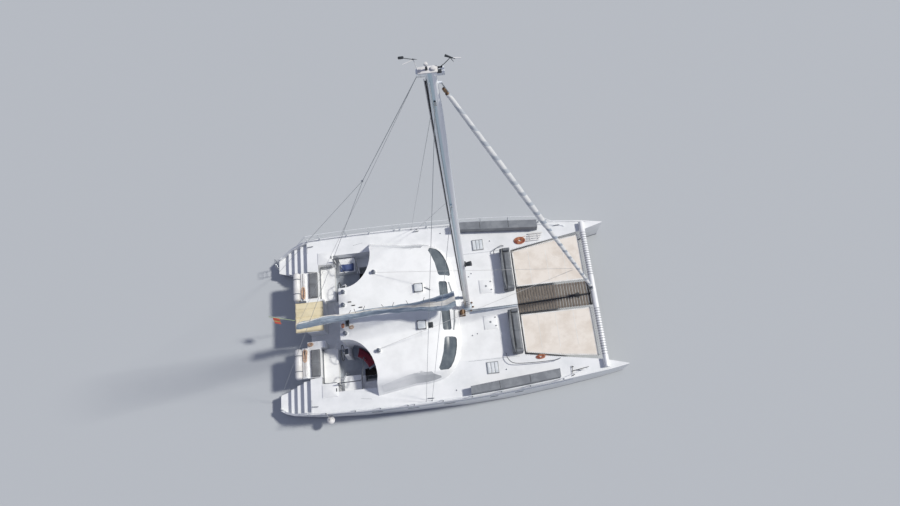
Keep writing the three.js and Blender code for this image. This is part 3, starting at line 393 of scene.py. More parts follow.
def tree_of(*objects):
    """The merged surface of some objects, for finding points on it."""
    corners, faces = [], []
    for thing in objects:
        start = len(corners)
        corners += [thing.matrix_world @ vert.co for vert in thing.data.vertices]
        faces += [[start + i for i in face.vertices] for face in thing.data.polygons]
    return BVHTree.FromPolygons(corners, faces)


def on_top(tree, x, y):
    """The point of a surface straight below a place."""
    return tree.ray_cast(Vector((x, y, SKY)), DOWN)[0]


def raised(point, height):
    """A point moved up."""
    return point + Vector((0, 0, height))


def lofted(grid, around=False, ends=False, loop=False):
    """A skin over rows of points; closed round each row, over the ends or end to end."""
    shape = bmesh.new()
    rows = [[shape.verts.new(p) for p in row] for row in grid]
    for near, far in zip(rows, rows[1:] + (rows[:1] if loop else [])):
        for k in range(len(near) - (not around)):
            n = (k + 1) % len(near)
            shape.faces.new((near[k], near[n], far[n], far[k]))
    for row in (rows[0], rows[-1]) if ends else ():
        shape.faces.new(row)
    return joined(shape)


def ribbon(path, width, rise, tree, sign=1, step=0.06):
    """A thin strip laid on a surface along a path seen from above."""
    points = []
    for start, end in zip(path, path[1:]):
        start, end = Vector(start), Vector(end)
        count = max(1, round((end - start).length / step))
        points += [start.lerp(end, i / count) for i in range(count)]
    points.append(Vector(path[-1]))
    rows = []
    for i, point in enumerate(points):
        ahead = points[min(i + 1, len(points) - 1)] - points[max(i - 1, 0)]
        aside = Vector((-ahead.y, ahead.x)).normalized() * width / 2
        left, right = [on_top(tree, at.x, at.y * sign) for at in (point + aside, point - aside)]
        heights = ((left, rise), (right, rise), (right, -SINK), (left, -SINK))
        rows.append([raised(spot, height) for spot, height in heights])
    return lofted(rows, around=True, ends=True)


# gelcoat on decks: matter, with fine moulded non-slip on the level faces and soft grey wear
deck_paint, deck_place, _ = drifting(
    "chalky non-slip gelcoat", ("#F3F4F3", "#EAEBEA"), 0.9, 0.5
)
deck_grain = add(deck_paint, "TexVoronoi", {"Scale": 160.0}, {"Vector": deck_place})
deck_level = split(deck_paint, add(deck_paint, "NewGeometry").outputs["Normal"])["Z"]
deck_flat = math_of(deck_paint, "GREATER_THAN", deck_level, value=0.97)
deck_raised = {"Height": deck_grain.outputs["Distance"], "Strength": deck_flat}
link(deck_paint, add(deck_paint, "Bump", {"Distance": 0.0015}, deck_raised).outputs[0], "Normal")

# black rubber: matt, greyed where it weathers
rubber = drifting("weathered black rubber", ("#27282A", "#3B3C3C"), 0.15, 0.75)[0]
# grey plastic: satin, faded in streaks
grey_plastic = drifting("satin grey plastic", ("#868A8E", "#A2A5A6"), 0.25, 0.45)[0]

# stainless steel: polished, with slight cloudy smears
steel, steel_place, _ = drifting("polished stainless steel", ("#B2B6B9", "#90959A"), 0.08, 0.24, 1.0)
steel_smear = noise_of(steel, steel_place, 30.0, Detail=3.0)
link(steel, ranged(steel, steel_smear, 0, 1, 0.14, 0.36), "Roughness")

# painted shade: the cockpit soles and the seats beside them get a darker grey, matt non-skid paint for
# the shade that falls into the deep wells
sole_painted_shade, sole_place, _ = drifting("grey non-skid paint", ("#A2A7AE", "#8F959D"), 0.7, 0.7)
grained(sole_painted_shade, sole_place, 120.0, 0.6, 0.002)

# painted shade: a dark brown, matt finish on the stairs down into the hulls stands for the shade
# inside the stairwells
stair_painted_shade = drifting("dark brown carpet", ("#3A3431", "#2C2827"), 0.2, 0.95)[0]


def on_sole(x, y, z):
    """Whether a spot lies on the soles of the side cockpits, which get painted shade."""
    beside = -5.9 < x < -3.2 or -6.9 < x < -5.7 and abs(y) < 1.2
    middle = abs(y) < 1.25 and x < -4.4
    return beside and z < SOLE_TOP_Z and not middle


def on_stair(x, y, z):
    """Whether a spot belongs to the stairs down into a hull."""
    return -4.1 < x < -3.3 and abs(y) > 2.28 and z < STAIR_TOP_Z and on_sole(x, y, z)


# the side cockpit wells and the stairwells are darkened with painted shade
deck = smooth_copy("bridge_deck", deck_paint, 25)
tint(deck, sole_painted_shade, on_sole)
tint(deck, stair_painted_shade, on_stair)
roof = smooth_copy("coachroof", deck_paint, 28)
smooth_copy("windscreen", acrylic, 28)
roof_tree = tree_of(roof)
front_bands = [ribbon(FRONT_BAND, 0.07, 0.008, roof_tree, sign) for _, sign in SIDES]
piece("roof_front_bands", gather(*front_bands), grey_plastic)


# Side windows of the cabin
# Cloudy grey acrylic panes bonded on the slanting sides of the cabin, each in a thin white edge; they
# follow the moulded side. Their grey, darker towards the bows, is painted shade of the cabin side.
SIDE_PANE = (  # x, lower and upper edge on the cabin side
    (-3.15, 1.87, 2.36), (-2.5, 1.86, 2.44), (-1.9, 1.86, 2.48), (-1.3, 1.87, 2.46),
    (-0.8, 1.88, 2.36), (-0.42, 1.89, 2.02),
)
PANE_COLUMNS, PANE_ROWS = 60, 24


def between(table, x):
    """The values of a table at a place between its rows, straight from row to row."""
    for near, far in zip(table, table[1:]):
        if x <= far[0]:
            break
    t = min(1, max(0, (x - near[0]) / (far[0] - near[0])))
    return [a + (b - a) * t for a, b in zip(near[1:], far[1:])]


def sheathed(rows):
    """A thin closed form over rows of points that run out on one face and back on the other."""
    shape = lofted(rows, around=True)
    shape.verts.ensure_lookup_table()
    width = len(rows[0])
    for first in (0, (len(rows) - 1) * width):
        for k in range(width // 2 - 1):
            corners = (k, k + 1, width - 2 - k, width - 1 - k)
            shape.faces.new([shape.verts[first + n] for n in corners])
    shape.verts.index_update()
    return joined(shape)


def side_pane(sign, grow, rise):
    """A thin pane laid on a slanting side, over the outline of the table and grown a little."""
    rows = []
    length = SIDE_PANE[-1][0] - SIDE_PANE[0][0] + 2 * grow
    for i in range(PANE_COLUMNS + 1):
        x = SIDE_PANE[0][0] - grow + length * i / PANE_COLUMNS
        low, high = between(SIDE_PANE, x)
        row = []
        for k in range(PANE_ROWS + 1):
            z = low - grow + (high - low + 2 * grow) * k / PANE_ROWS
            hit, normal = roof_tree.ray_cast(Vector((x, 6 * sign, z)), Vector((0, -sign, 0)))[:2]
            row.append((hit + normal * rise, hit - normal * SINK))
        rows.append([outer for outer, _ in row] + [inner for _, inner in reversed(row)])
    return sheathed(rows)


# cloudy grey acrylic: glossy, paler aft, with painted shade darkening it forward where the cabin side
# lies in shade
shaded_side_pane, cloudy_place, cloudy = drifting(
    "cloudy grey acrylic", ("#E6E7E7", "#DADCDC"), 0.6, 0.15, Coat_Weight=0.3
)
forward = ranged(shaded_side_pane, split(shaded_side_pane, cloudy_place)["X"], -2.1, -0.7, 0, 0.75)
link(shaded_side_pane, over(shaded_side_pane, forward, cloudy, "#9A9EA1"), "Base Color")
for side, sign in SIDES:
    piece("side_pane_edge_" + side, side_pane(sign, 0.02, 0.004), deck_paint)
    piece("side_pane_" + side, side_pane(sign, 0.0, 0.007), shaded_side_pane)


# Cabin door
# One sheet of dark acrylic in a slim alloy frame, running behind the aft bulkhead.
DOOR_AFT_X, DOOR_HALF, DOOR_Z = -4.841, 0.425, (0.856, 2.6)
DOOR_FRAME, DOOR_FRAME_DEPTH = 0.05, 0.036

# anodised alloy: satin, fine length-wise streaks of grey
alloy, alloy_place, _ = drifting("satin anodised alloy", ("#C6CFD6", "#B2BDC5"), 0.7, 0.38, 0.6)
alloy_stretch = add(alloy, "Mapping", {"Scale": (40, 40, 1.2)}, {"Vector": alloy_place})
alloy_streak = noise_of(alloy, alloy_stretch.outputs["Vector"], 6.0)
link(alloy, ranged(alloy, alloy_streak, 0, 1, 0.28, 0.5), "Roughness")

smooth_copy("cabin_door", acrylic)
door_low, door_high = DOOR_Z[0] + DOOR_FRAME, DOOR_Z[1] - DOOR_FRAME
door_side = DOOR_HALF - DOOR_FRAME
door_bars = [
    slab((DOOR_AFT_X, y0, z0), (DOOR_AFT_X + DOOR_FRAME_DEPTH, y1, z1), 0, 0.004)
    for y0, y1, z0, z1 in (
        (-DOOR_HALF, DOOR_HALF, DOOR_Z[0] + 0.001, door_low),
        (-DOOR_HALF, DOOR_HALF, door_high, DOOR_Z[1]),
        (-DOOR_HALF, -door_side, door_low, door_high), (door_side, DOOR_HALF, door_low, door_high),
    )
]
piece("cabin_door_frame", gather(*door_bars), alloy, "cabin_door")


# Hatches and lids
# Foredeck hatches have white panes in grey frames with two bars across, the engine and
# locker lids are moulded, and the small roof hatches are white panes with a dark rim.
PANE_X = (1.755, 1.9225, 2.09)


def block(sign, x0, x1, y0, y1, z0, z1, corner, rim=0.003):
    """A softened box on one side of the boat, from its place on the port side."""
    low, high = sorted((y0 * sign, y1 * sign))
    return slab((x0, low, z0), (x1, high, z1), corner, rim)


def turned(profile, centre, axis=UP, steps=40):
    """A form turned about an axis, from pairs of distance along it and radius."""
    shape = bmesh.new()
    axis = Vector(axis)
    out = axis.orthogonal().normalized()
    verts = [shape.verts.new(Vector(centre) + axis * along + out * r) for along, r in profile]
    line = verts + [shape.edges.new(pair) for pair in zip(verts, verts[1:])]
    turn = {"cent": centre, "axis": axis, "angle": math.tau, "steps": steps, "use_merge": True}
    bmesh.ops.spin(shape, geom=line, **turn)
    bmesh.ops.remove_doubles(shape, verts=shape.verts, dist=0.0002)
    return joined(shape)


def tube(points, radius, sides=8, steps=6, closed=False):
    """A round tube along a smooth curve through some points."""
    points = [Vector(p) for p in points]
    count = len(points)
    line = []
    for i in range(count if closed else count - 1):
        near = [(i + k) % count if closed else min(max(i + k, 0), count - 1) for k in (-1, 0, 1, 2)]
        a, b, c, d = [points[n] for n in near]
        for s in range(steps):
            t = s / steps
            bend = (2 * a - 5 * b + 4 * c - d) * t**2 + (3 * b - a - 3 * c + d) * t**3
            line.append(0.5 * (2 * b + (c - a) * t + bend))
    if not closed:
        line.append(points[-1])
    rings = []
    across = None
    for i, point in enumerate(line):
        before = line[i - 1] if i or closed else point
        after = line[(i + 1) % len(line)] if i + 1 < len(line) or closed else point
        ahead = (after - before).normalized()
        across = across or ahead.orthogonal()
        across = (across - ahead * across.dot(ahead)).normalized()
        up = ahead.cross(across)
        turns = [math.tau * k / sides for k in range(sides)]
        rings.append([point + (across * math.cos(a) + up * math.sin(a)) * radius for a in turns])
    return lofted(rings, around=True, ends=not closed, loop=closed)


# powder-coated alloy: near black, dusty in patches
black_alloy = drifting("black powder-coated alloy", ("#2E3236", "#474B4E"), 0.2, 0.5)[0]
# translucent white acrylic of the hatch panes: glossy, cloudy
white_acrylic = drifting(
    "cloudy white acrylic", ("#E9ECED", "#D5DBDE"), 0.3, 0.12, Coat_Weight=0.4
)[0]

for side, sign in SIDES:
    deck_hatch, engine_hatch = "deck_hatch_" + side, "engine_hatch_" + side
    locker_lid, roof_hatch = "locker_lid_" + side, "roof_hatch_" + side
    smooth_copy(deck_hatch, grey_plastic)
    panes = [block(sign, x, x + 0.135, 2.815, 3.295, 1.745, 1.771, 0.012) for x in PANE_X]
    piece("deck_hatch_panes_" + side, gather(*panes), white_acrylic, deck_hatch)
    smooth_copy(engine_hatch, deck_paint)
    rim = block(sign, -5.99, -5.28, 2.995, 3.57, 1.74, 1.7535, 0.05)
    piece("engine_hatch_rim_" + side, rim, deck_paint, engine_hatch)
    grip = block(sign, -5.36, -5.31, 3.2, 3.36, 1.745, 1.758, 0.02)
    piece("engine_hatch_grip_" + side, grip, black_alloy, engine_hatch)
    smooth_copy(locker_lid, deck_paint)
    rim = block(sign, 1.855, 2.425, 0.575, 1.215, 1.745, 1.7585, 0.04)
    piece("locker_lid_rim_" + side, rim, deck_paint, locker_lid)
    button = rod((2.14, 0.895 * sign, 1.75), (2.14, 0.895 * sign, 1.763), 0.055, 0.05, 24)
    hinges = [block(sign, 2.34, 2.43, y, y + 0.06, 1.75, 1.768, 0.01) for y in (0.66, 1.07)]
    fittings = gather(button, *hinges)
    piece("locker_lid_fittings_" + side, fittings, grey_plastic, locker_lid)
    smooth_copy(roof_hatch, black_alloy)
    pane = block(sign, -1.245, -0.875, 0.715, 1.085, 2.76, 2.783, 0.06, 0.006)
    piece("roof_hatch_pane_" + side, pane, white_acrylic, roof_hatch)


# Roof fittings
# A pale grab handle on two feet beside the port roof hatch, and a small dark vent cover
# beside the other one.
HANDLE_FEET, HANDLE_Z = ((-0.76, 0.91), (-0.53, 0.78)), 0.045
VENT_CAP = ((0.0, 0.0), (0.0, 0.07), (0.02, 0.065), (0.03, 0.0))


feet = [on_top(roof_tree, x, y) for x, y in HANDLE_FEET]
handle = [rod(raised(foot, -0.01), raised(foot, 0.05), 0.03, 0.024, 16) for foot in feet]
handle.append(rod(raised(feet[0], HANDLE_Z), raised(feet[1], HANDLE_Z), 0.022, None, 16))
piece("roof_handle", gather(*handle), grey_plastic)
vent_z = on_top(roof_tree, -0.65, -0.88).z
vent = gather(
    slab((-0.77, -1.06, vent_z - 0.02), (-0.54, -0.79, vent_z + 0.035), 0.03, 0.008),
    turned(VENT_CAP, (-0.655, -0.925, vent_z + 0.034), UP, 24),
)
piece("roof_vent_cover", vent, black_alloy)


# Helm benches
# Moulded seats across the side cockpits, with a bent steel tube as back and arm rest and a
# padded grey sleeve laced over the tube behind.
BENCH_TOP_Z = 1.232
HOOP_PATH = (
    (-5.4, 2.9, 1.3), (-5.4, 2.9, 1.46), (-5.44, 2.9, 1.485), (-5.86, 2.9, 1.5),
    (-5.95, 2.85, 1.5), (-5.96, 2.78, 1.5), (-5.96, 2.0, 1.5), (-5.96, 1.36, 1.5),
    (-5.96, 1.3, 1.45), (-5.96, 1.3, 1.3),
)

# polished steel of the hoops, its colour darkened as a painted reflection of dark surroundings
dark_steel = drifting("darkly polished steel", ("#7B7F83", "#606468"), 0.08, 0.4, 0.9)[0]
# grey leathercloth: dull, grained
sleeve_cloth = drifting("grey leathercloth", ("#767A80", "#5F636A"), 0.1, 0.6)[0]


def sided(path, sign):
    """A path on one side of the boat, from its points on the port side."""
    return [(x, y * sign, *rest) for x, y, *rest in path]


for side, sign in SIDES:
    bench = smooth_copy("helm_bench_" + side, deck_paint, 30)
    tint(bench, dark_steel, lambda x, y, z: z > BENCH_TOP_Z)
for side, sign in SIDES:
    sleeve = tube(sided(HOOP_PATH, sign), 0.025, 12, 4)
    piece("bench_sleeve_" + side, sleeve, sleeve_cloth)


# Helm pedestals and wheels
# A moulded column on each side carries a black instrument panel and a five-spoked steel
# wheel with a stitched leather rim.
WHEEL_X, WHEEL_Y, WHEEL_Z, WHEEL_RIM_FROM = -4.985, 1.56, 1.64, 0.35
DIALS = ((-4.85, 1.50, 0.07), (-4.85, 1.61, 0.07), (-4.76, 1.56, 0.18))  # x, y, width

# black leather: soft sheen, small pores
leather, leather_place, _ = drifting("stitched black leather", ("#1C1D1F", "#2C2D2F"), 0.05, 0.6)
grained(leather, leather_place, 500.0, 0.3, 0.0006)

for side, sign in SIDES:
    pedestal = smooth_copy("helm_pedestal_" + side, deck_paint, 30)
    top = tree_of(pedestal)
    panel = ribbon([(-4.865, 1.56), (-4.675, 1.56)], 0.26, 0.006, top, sign, 0.02)
    dials = [ribbon([(x, y), (x + 0.06, y)], w, 0.011, top, sign, 0.02) for x, y, w in DIALS]
    piece("helm_panel_" + side, panel, black_alloy)
    piece("helm_dials_" + side, gather(*dials), acrylic)
    wheel_body, wheel_y = "helm_wheel_" + side, WHEEL_Y * sign
    wheel = smooth_copy(wheel_body, steel, 60)
    tint(wheel, leather, lambda x, y, z: math.hypot(y - wheel_y, z - WHEEL_Z) > WHEEL_RIM_FROM)
    cap_end = Vector((WHEEL_X - 0.045, wheel_y, WHEEL_Z))
    cap = rod(cap_end, cap_end + Vector((0.02, 0, 0)), 0.02, 0.04, 24)
    piece("helm_wheel_cap_" + side, cap, steel, wheel_body)


# Cockpit cushions
# Foam blocks in woven covers, a little plumped: navy on the port seat, red on the curved seat to
# starboard.
PLUMP_FRAMES = 16
PLUMP_REACH = (0.008, 0.008, 0.03)  # how far a cover swells past its foam, along x, y and z
CLOTH_SETTINGS = {
    "quality": 4, "mass": 0.3, "tension_stiffness": 8, "compression_stiffness": 8,
    "bending_stiffness": 0.3, "shrink_min": -0.02, "use_pressure": True,
    "uniform_pressure_force": 4, "vertex_group_mass": "sewn",
}


def settle(cover):
    """Fixes what an object's modifiers make of it."""
    evaluated = cover.evaluated_get(bpy.context.evaluated_depsgraph_get())
    cover.data = bpy.data.meshes.new_from_object(evaluated)
    cover.modifiers.clear()


def stuffed(shape, voxel, seams=None):
    """The same form as a filled cover: remeshed, blown up as cloth where seams let it."""
    mesh = bpy.data.meshes.new("cover")
    shape.to_mesh(mesh)
    shape.free()
    cover = in_scene("cover", mesh)
    low = Vector([min(v.co[i] for v in mesh.vertices) for i in range(3)])
    high = Vector([max(v.co[i] for v in mesh.vertices) for i in range(3)])
    remesh = cover.modifiers.new("remesh", "REMESH")
    remesh.mode, remesh.voxel_size = "VOXEL", voxel
    settle(cover)
    spots = cover.data.vertices
    held = [v.index for v in spots if v.co.z < low.z + voxel or (seams and seams(v.co))]
    cover.vertex_groups.new(name="sewn").add(held, 1, "REPLACE")
    cloth = cover.modifiers.new("cloth", "CLOTH")
    for key, value in CLOTH_SETTINGS.items():
        setattr(cloth.settings, key, value)
    cloth.settings.effector_weights.gravity = 0
    cloth.point_cache.frame_end = PLUMP_FRAMES
    for number in range(1, PLUMP_FRAMES + 1):
        bpy.context.scene.frame_set(number)
    settle(cover)
    bpy.context.scene.frame_set(1)
    whole = bmesh.new()
    whole.from_mesh(cover.data)
    bpy.data.objects.remove(cover)
    for vert in whole.verts:
        for i, reach in enumerate(PLUMP_REACH):
            vert.co[i] = min(max(vert.co[i], low[i] - reach * (i < 2)), high[i] + reach)
    return whole


def woven(name, tones, pitch, roughness=0.85, lift=0.0008):
    """A woven cloth: two threads crossing at a pitch in metres; returns it and its colour."""
    cloth, place, colour = drifting(name, tones, 0.35, roughness, Sheen_Weight=0.25)
    threads = [
        add(cloth, "TexWave", {"bands_direction": way, "Scale": 0.314 / pitch}, {"Vector": place})
        for way in ("X", "Y")
    ]
    weave = math_of(cloth, "MULTIPLY", *[thread.outputs["Fac"] for thread in threads])
    fine = bump(cloth, weave, 0.5, lift)
    creases = noise_of(cloth, place, 7.0, Detail=4.0)
    link(cloth, bump(cloth, creases, 0.4, 0.02, fine), "Normal")
    return cloth, colour


def cushion(node_name, shape, material):
    """A filled cover that stands for a CAD node."""
    cover = piece(node_name + ".cover", shape, material, "root", 60)
    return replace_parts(cover, node_name)


# navy and dark red acrylic: matt, faintly furry
navy_cloth = woven("woven navy acrylic", ("#4A5A86", "#5A6A93"), 0.003)[0]
red_cloth = woven("woven dark red acrylic", ("#8C2A3A", "#7C2433"), 0.003)[0]
navy_seat = stuffed(slab((-4.995, 2.635, 1.2), (-4.305, 3.035, 1.3), 0.05, 0.02), 0.012)
cushion("cockpit_cushion_port", navy_seat, navy_cloth)
arc_shape = bmesh.new()
arc_shape.from_mesh(frame["nodes"]["cockpit_cushion_starboard"].data)
cushion("cockpit_cushion_starboard", stuffed(arc_shape, 0.012), red_cloth)


# Aft pads
# Two seat pads in grey mesh cloth over foam, tied down across the aft side decks.
AFT_PAD = (-6.49, -6.04, 1.27, 2.58, 1.7203, 1.822, 0.05, 0.02)
grey_mesh = woven("grey mesh cloth", ("#6E7073", "#7C7F82"), 0.006)[0]  # matt open weave
for side, sign in SIDES:
    cover = stuffed(block(sign, *AFT_PAD), 0.016, lambda co: abs(abs(co.y) - 1.925) < 0.009)
    cushion("aft_pad_" + side, cover, grey_mesh)


# Raft canisters
# Ribbed glass-fibre drums for the rafts, strapped down on the racks behind the pads, each
# with a slim white board lashed flat on the rim ahead of it.
CANISTER_X, CANISTER_Y, CANISTER_Z = -7.066, 1.9, 1.7843
HALF_CANISTER = (  # along from the middle, radius
    (0.015, 0.184), (0.02, 0.178), (0.34, 0.178), (0.35, 0.183), (0.39, 0.183), (0.4, 0.178),
    (0.61, 0.176), (0.655, 0.162), (0.69, 0.13), (0.705, 0.09), (0.71, 0.0),
)
BOARD_Y = {"port": (1.78, 2.55), "starboard": (1.72, 2.55)}

webbing = woven("grey webbing", ("#6A7078", "#82878C"), 0.002)[0]  # matt, closely woven
# weathered glass fibre: satin, yellowed in clouds
white_plastic = drifting("weathered white glass fibre", ("#E8E7E5", "#D6D4D0"), 0.4, 0.4)[0]


def hoop(half_width, inner, outer, middle_along=0.0):
    """The section of a flat band round something, for turning."""
    low, high = middle_along - half_width, middle_along + half_width
    return [(low, inner), (low, outer), (high, outer), (high, inner), (low, inner)]


for side, sign in SIDES:
    middle = (CANISTER_X, CANISTER_Y * sign, CANISTER_Z)
    profile = [(-along, radius) for along, radius in reversed(HALF_CANISTER)] + list(HALF_CANISTER)
    name = "raft_canister_" + side
    drum = piece(name + ".drum", turned(profile, middle, ACROSS), white_plastic)
    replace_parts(drum, name)
    bands = [hoop(0.022, 0.1832, 0.1862, along) for along in (-0.37, 0.37)]
    straps = [turned(band, middle, ACROSS) for band in bands]
    piece("canister_straps_" + side, gather(*straps), webbing)
    board = block(sign, -6.85, -6.66, *BOARD_Y[side], 1.8003, 1.86, 0.03, 0.012)
    piece("stowed_board_" + side, board, white_plastic)
    board_middle = sum(BOARD_Y[side]) / 2 * sign
    line = [(-6.755, board_middle + dy, 1.866) for dy in (-0.38, -0.1, 0.1, 0.38)]
    piece("stowed_board_line_" + side, tube(line, 0.008), leather)


# Aft sunpad
# A thin quilted pad in cream vinyl between the aft seats, sewn into four panels.
SUNPAD_LOW, SUNPAD_HIGH = (-7.19, -0.39, 1.7203), (-5.82, 1.09, 1.782)
SUNPAD_SEAMS_Y = (-0.02, 0.35, 0.72)
SEAM_DEPTH, SEAM_WIDTH = 0.014, 0.018

# cream vinyl: satin, pressed grain, slightly darker where it is sat on
vinyl, vinyl_place, _ = drifting("cream vinyl", ("#EADDB9", "#DACDA9"), 0.5, 0.5)
grained(vinyl, vinyl_place, 350.0, 0.2, 0.0006)


def to_seam(co):
    """How far a point is from the nearest seam of the sunpad."""
    return min(abs(co.y - y) for y in SUNPAD_SEAMS_Y)


sunpad = stuffed(slab(SUNPAD_LOW, SUNPAD_HIGH, 0.04, 0.02), 0.02, lambda co: to_seam(co) < 0.012)
for vert in sunpad.verts:
    if vert.co.z > SUNPAD_LOW[2] + 0.03:
        vert.co.z -= SEAM_DEPTH * math.exp(-((to_seam(vert.co) / SEAM_WIDTH) ** 2))
cushion("aft_sunpad", sunpad, vinyl)


# Forward crossbeam
# An alloy tube between the bows, painted white, with webbing lashings for the nets.
BEAM_X, BEAM_Z, BEAM_R = 7.2, 1.8553, 0.135
LASHING_COUNT, LASHING_PITCH, LASHING_FROM_Y = 19, 0.12, 0.85

# white two-part paint: glossy, streaked grey by the rain
beam_paint = drifting(
    "white two-part paint", ("#F0F1F1", "#E2E4E5"), 0.8, 0.25, Coat_Weight=0.3
)[0]
smooth_copy("crossbeam", beam_paint, 40)
lashing = hoop(0.011, BEAM_R + 0.001, BEAM_R + 0.006)
lashings = [
    turned(lashing, (BEAM_X, sign * (LASHING_FROM_Y + i * LASHING_PITCH), BEAM_Z), ACROSS, 32)
    for _, sign in SIDES
    for i in range(LASHING_COUNT)
]
piece("crossbeam_lashings", gather(*lashings), webbing)


# Trampolines
# Two nets of pale polyester mesh with white webbing borders, laced with dark cord to the
# hulls, the beam and the catwalk.
NET_Z, NET_THICKNESS, NET_STEP, NET_WAVE = 1.7075, 0.007, 0.15, 0.004
NET_EDGE = ((3.62, 0.70), (6.93, 0.70), (6.93, 3.02), (5.3, 2.83), (3.62, 2.52))  # to port
NET_BORDER = ((3.65, 0.73), (6.90, 0.73), (6.90, 2.98), (5.3, 2.795), (3.65, 2.49), (3.65, 0.73))
NET_SEAMS = [((x, 0.76), (x, 2.42)) for x in (4.4, 5.25, 6.1)]
LACED = ((4, 2, (-0.06, 0.16)), (0, 1, (0.0, -0.085)), (1, 2, (0.13, 0.0)))  # corners, way out
LACE_PITCH = 0.085

# open polyester mesh: matt, with rows of small holes and a warm bleach
net_cloth, net_place, net_colour = drifting(
    "bleached polyester mesh", ("#EDE5DA", "#E0D6C9"), 0.6, 0.85
)
holes = add(net_cloth, "TexVoronoi", {"Scale": 90.0, "Randomness": 0.0}, {"Vector": net_place})
net_dark = ranged(net_cloth, holes.outputs["Distance"], 0.1, 0.22, 1, 0)
link(net_cloth, over(net_cloth, net_dark, net_colour, "#A79F96"), "Base Color")

border_cloth = woven("white webbing", ("#ECEBE7", "#DDDAD3"), 0.003)[0]  # matt, coarse
# dark braided cord: matt, a spiral of strands
dark_cord = drifting("dark braided cord", ("#2A2E33", "#44484D"), 0.02, 0.8)[0]


def flat_band(line, width, low, high):
    """A flat strip with square corners along an open line of x, y points."""
    parts = []
    for start, end in zip(line, line[1:]):
        start, end = Vector(start), Vector(end)
        aside = Vector((start.y - end.y, end.x - start.x)).normalized() * width / 2
        foot = (start + aside, start - aside, end - aside, end + aside)
        levels = [[(p.x, p.y, z) for p in foot] for z in (low, high)]
        parts.append(lofted(levels, around=True, ends=True))
    return gather(*parts)


def cut(shape, spot, way):
    """Cuts the faces of a bmesh through a spot, square to a way."""
    whole = shape.verts[:] + shape.edges[:] + shape.faces[:]
    bmesh.ops.bisect_plane(shape, geom=whole, plane_co=spot, plane_no=way)


for side, sign in SIDES:
    net = bmesh.new()
    net.faces.new([net.verts.new((*corner, NET_Z)) for corner in sided(NET_EDGE, sign)])
    for i in range(1, 23):
        cut(net, (NET_EDGE[0][0] + NET_STEP * i, 0, 0), (1, 0, 0))
    for i in range(1, 16):
        cut(net, (0, sign * (NET_EDGE[0][1] + NET_STEP * i), 0), (0, 1, 0))
    grown = bmesh.ops.extrude_face_region(net, geom=net.faces[:])["geom"]
    moved = [g for g in grown if isinstance(g, bmesh.types.BMVert)]
    bmesh.ops.translate(net, vec=(0, 0, NET_THICKNESS), verts=moved)
    for vert in net.verts:
        spot = Vector((vert.co.x * 1.1, vert.co.y * 1.3, 4.0 * sign))
        vert.co.z += NET_WAVE * noise.noise(spot)
    sheet = piece(
        "trampoline_" + side + ".net", joined(net), net_cloth, "root", 40
    )
    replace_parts(sheet, "trampoline_" + side)
    low, high = NET_Z + NET_THICKNESS + 0.001, NET_Z + NET_THICKNESS + 0.004
    bands = [flat_band(sided(NET_BORDER, sign), 0.06, low, high)]
    bands += [flat_band(sided(seam, sign), 0.02, low, high) for seam in NET_SEAMS]
    piece("trampoline_border_" + side, gather(*bands), border_cloth)
    laces = []
    for first, last, out in LACED:
        start, end = Vector(NET_EDGE[first]), Vector(NET_EDGE[last])
        count = 2 * int((end - start).length / LACE_PITCH)
        turns = [
            start.lerp(end, i / count) + Vector(out) * (0.95 if i % 2 else -0.15)
            for i in range(count + 1)
        ]
        path = [(turn.x, turn.y * sign, NET_Z + 0.009) for turn in turns]
        laces.append(tube(path, 0.007, 5, 1))
    piece("trampoline_lacing_" + side, gather(*laces), dark_cord)


# Catwalk
# Weathered hardwood slats across an alloy frame, on the centreline between the nets.
SLAT_COUNT, SLAT_FROM_X, SLAT_PITCH, SLAT_WIDTH, SLAT_HALF = 27, 3.565, 0.135, 0.112, 0.595
WALK_FOOT_Z, WALK_BEAM_Z, WALK_TOP_Z, WALK_END_X = 1.632, 1.69, 1.7205, 7.19
SLAT_JOG = 0.004


def ramped(material, share, first, last, *between_them):
    """A row of tones along a share, each with its spot."""
    ramp = add(material, "ValToRGB", links={"Fac": share})
    elements = ramp.color_ramp.elements
    for element, (spot, tone) in zip(elements, (first, last)):
        element.position, element.color = spot, linear(tone)
    for spot, tone in between_them:
        elements.new(spot).color = linear(tone)
    return ramp


# bare teak: silvered brown, grain along each slat, matt
teak = start_material("silvered teak", "#7F766B", 0.8)[0]
teak_place = add(teak, "TexCoord").outputs["Object"]
teak_stretch = add(teak, "Mapping", {"Scale": (9.0, 1.0, 9.0)}, {"Vector": teak_place})
teak_grain = noise_of(teak, teak_stretch.outputs["Vector"], 5.0, Detail=8.0)
teak_tone = ramped(teak, teak_grain, (0.3, "#605850"), (0.7, "#877E74"))
link(teak, teak_tone.outputs["Color"], "Base Color")
link(teak, bump(teak, teak_grain, 0.3, 0.002), "Normal")

slats = []
rng = random.Random(3)
for i in range(SLAT_COUNT):
    x = SLAT_FROM_X + i * SLAT_PITCH
    jog = rng.uniform(-SLAT_JOG, SLAT_JOG)
    low = (x, jog - SLAT_HALF, WALK_BEAM_Z)
    slats.append(slab(low, (x + SLAT_WIDTH, jog + SLAT_HALF, WALK_TOP_Z), 0, 0.004))
walk_beams = [
    slab((3.552, y, WALK_FOOT_Z), (WALK_END_X, y + 0.05, WALK_BEAM_Z), 0, 0.004)
    for y in (-0.55, -0.025, 0.5)
]
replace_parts(piece("catwalk.slats", gather(*slats), teak), "catwalk")
piece("catwalk_frame", gather(*walk_beams), alloy)


# Foredeck sofas
# Moulded bases with padded seats, backs and arms in grey vinyl, open towards the bows.
SOFA_PARTS = (  # seat, back and arms on the port side
    (3.13, 3.485, 0.645, 2.415, 1.72, 2.12), (2.995, 3.125, 0.505, 2.555, 1.72, 2.322),
    (3.13, 3.485, 0.505, 0.640, 1.72, 2.292), (3.13, 3.485, 2.420, 2.555, 1.72, 2.292),
)
SOFA_SEAM_Y = 1.53

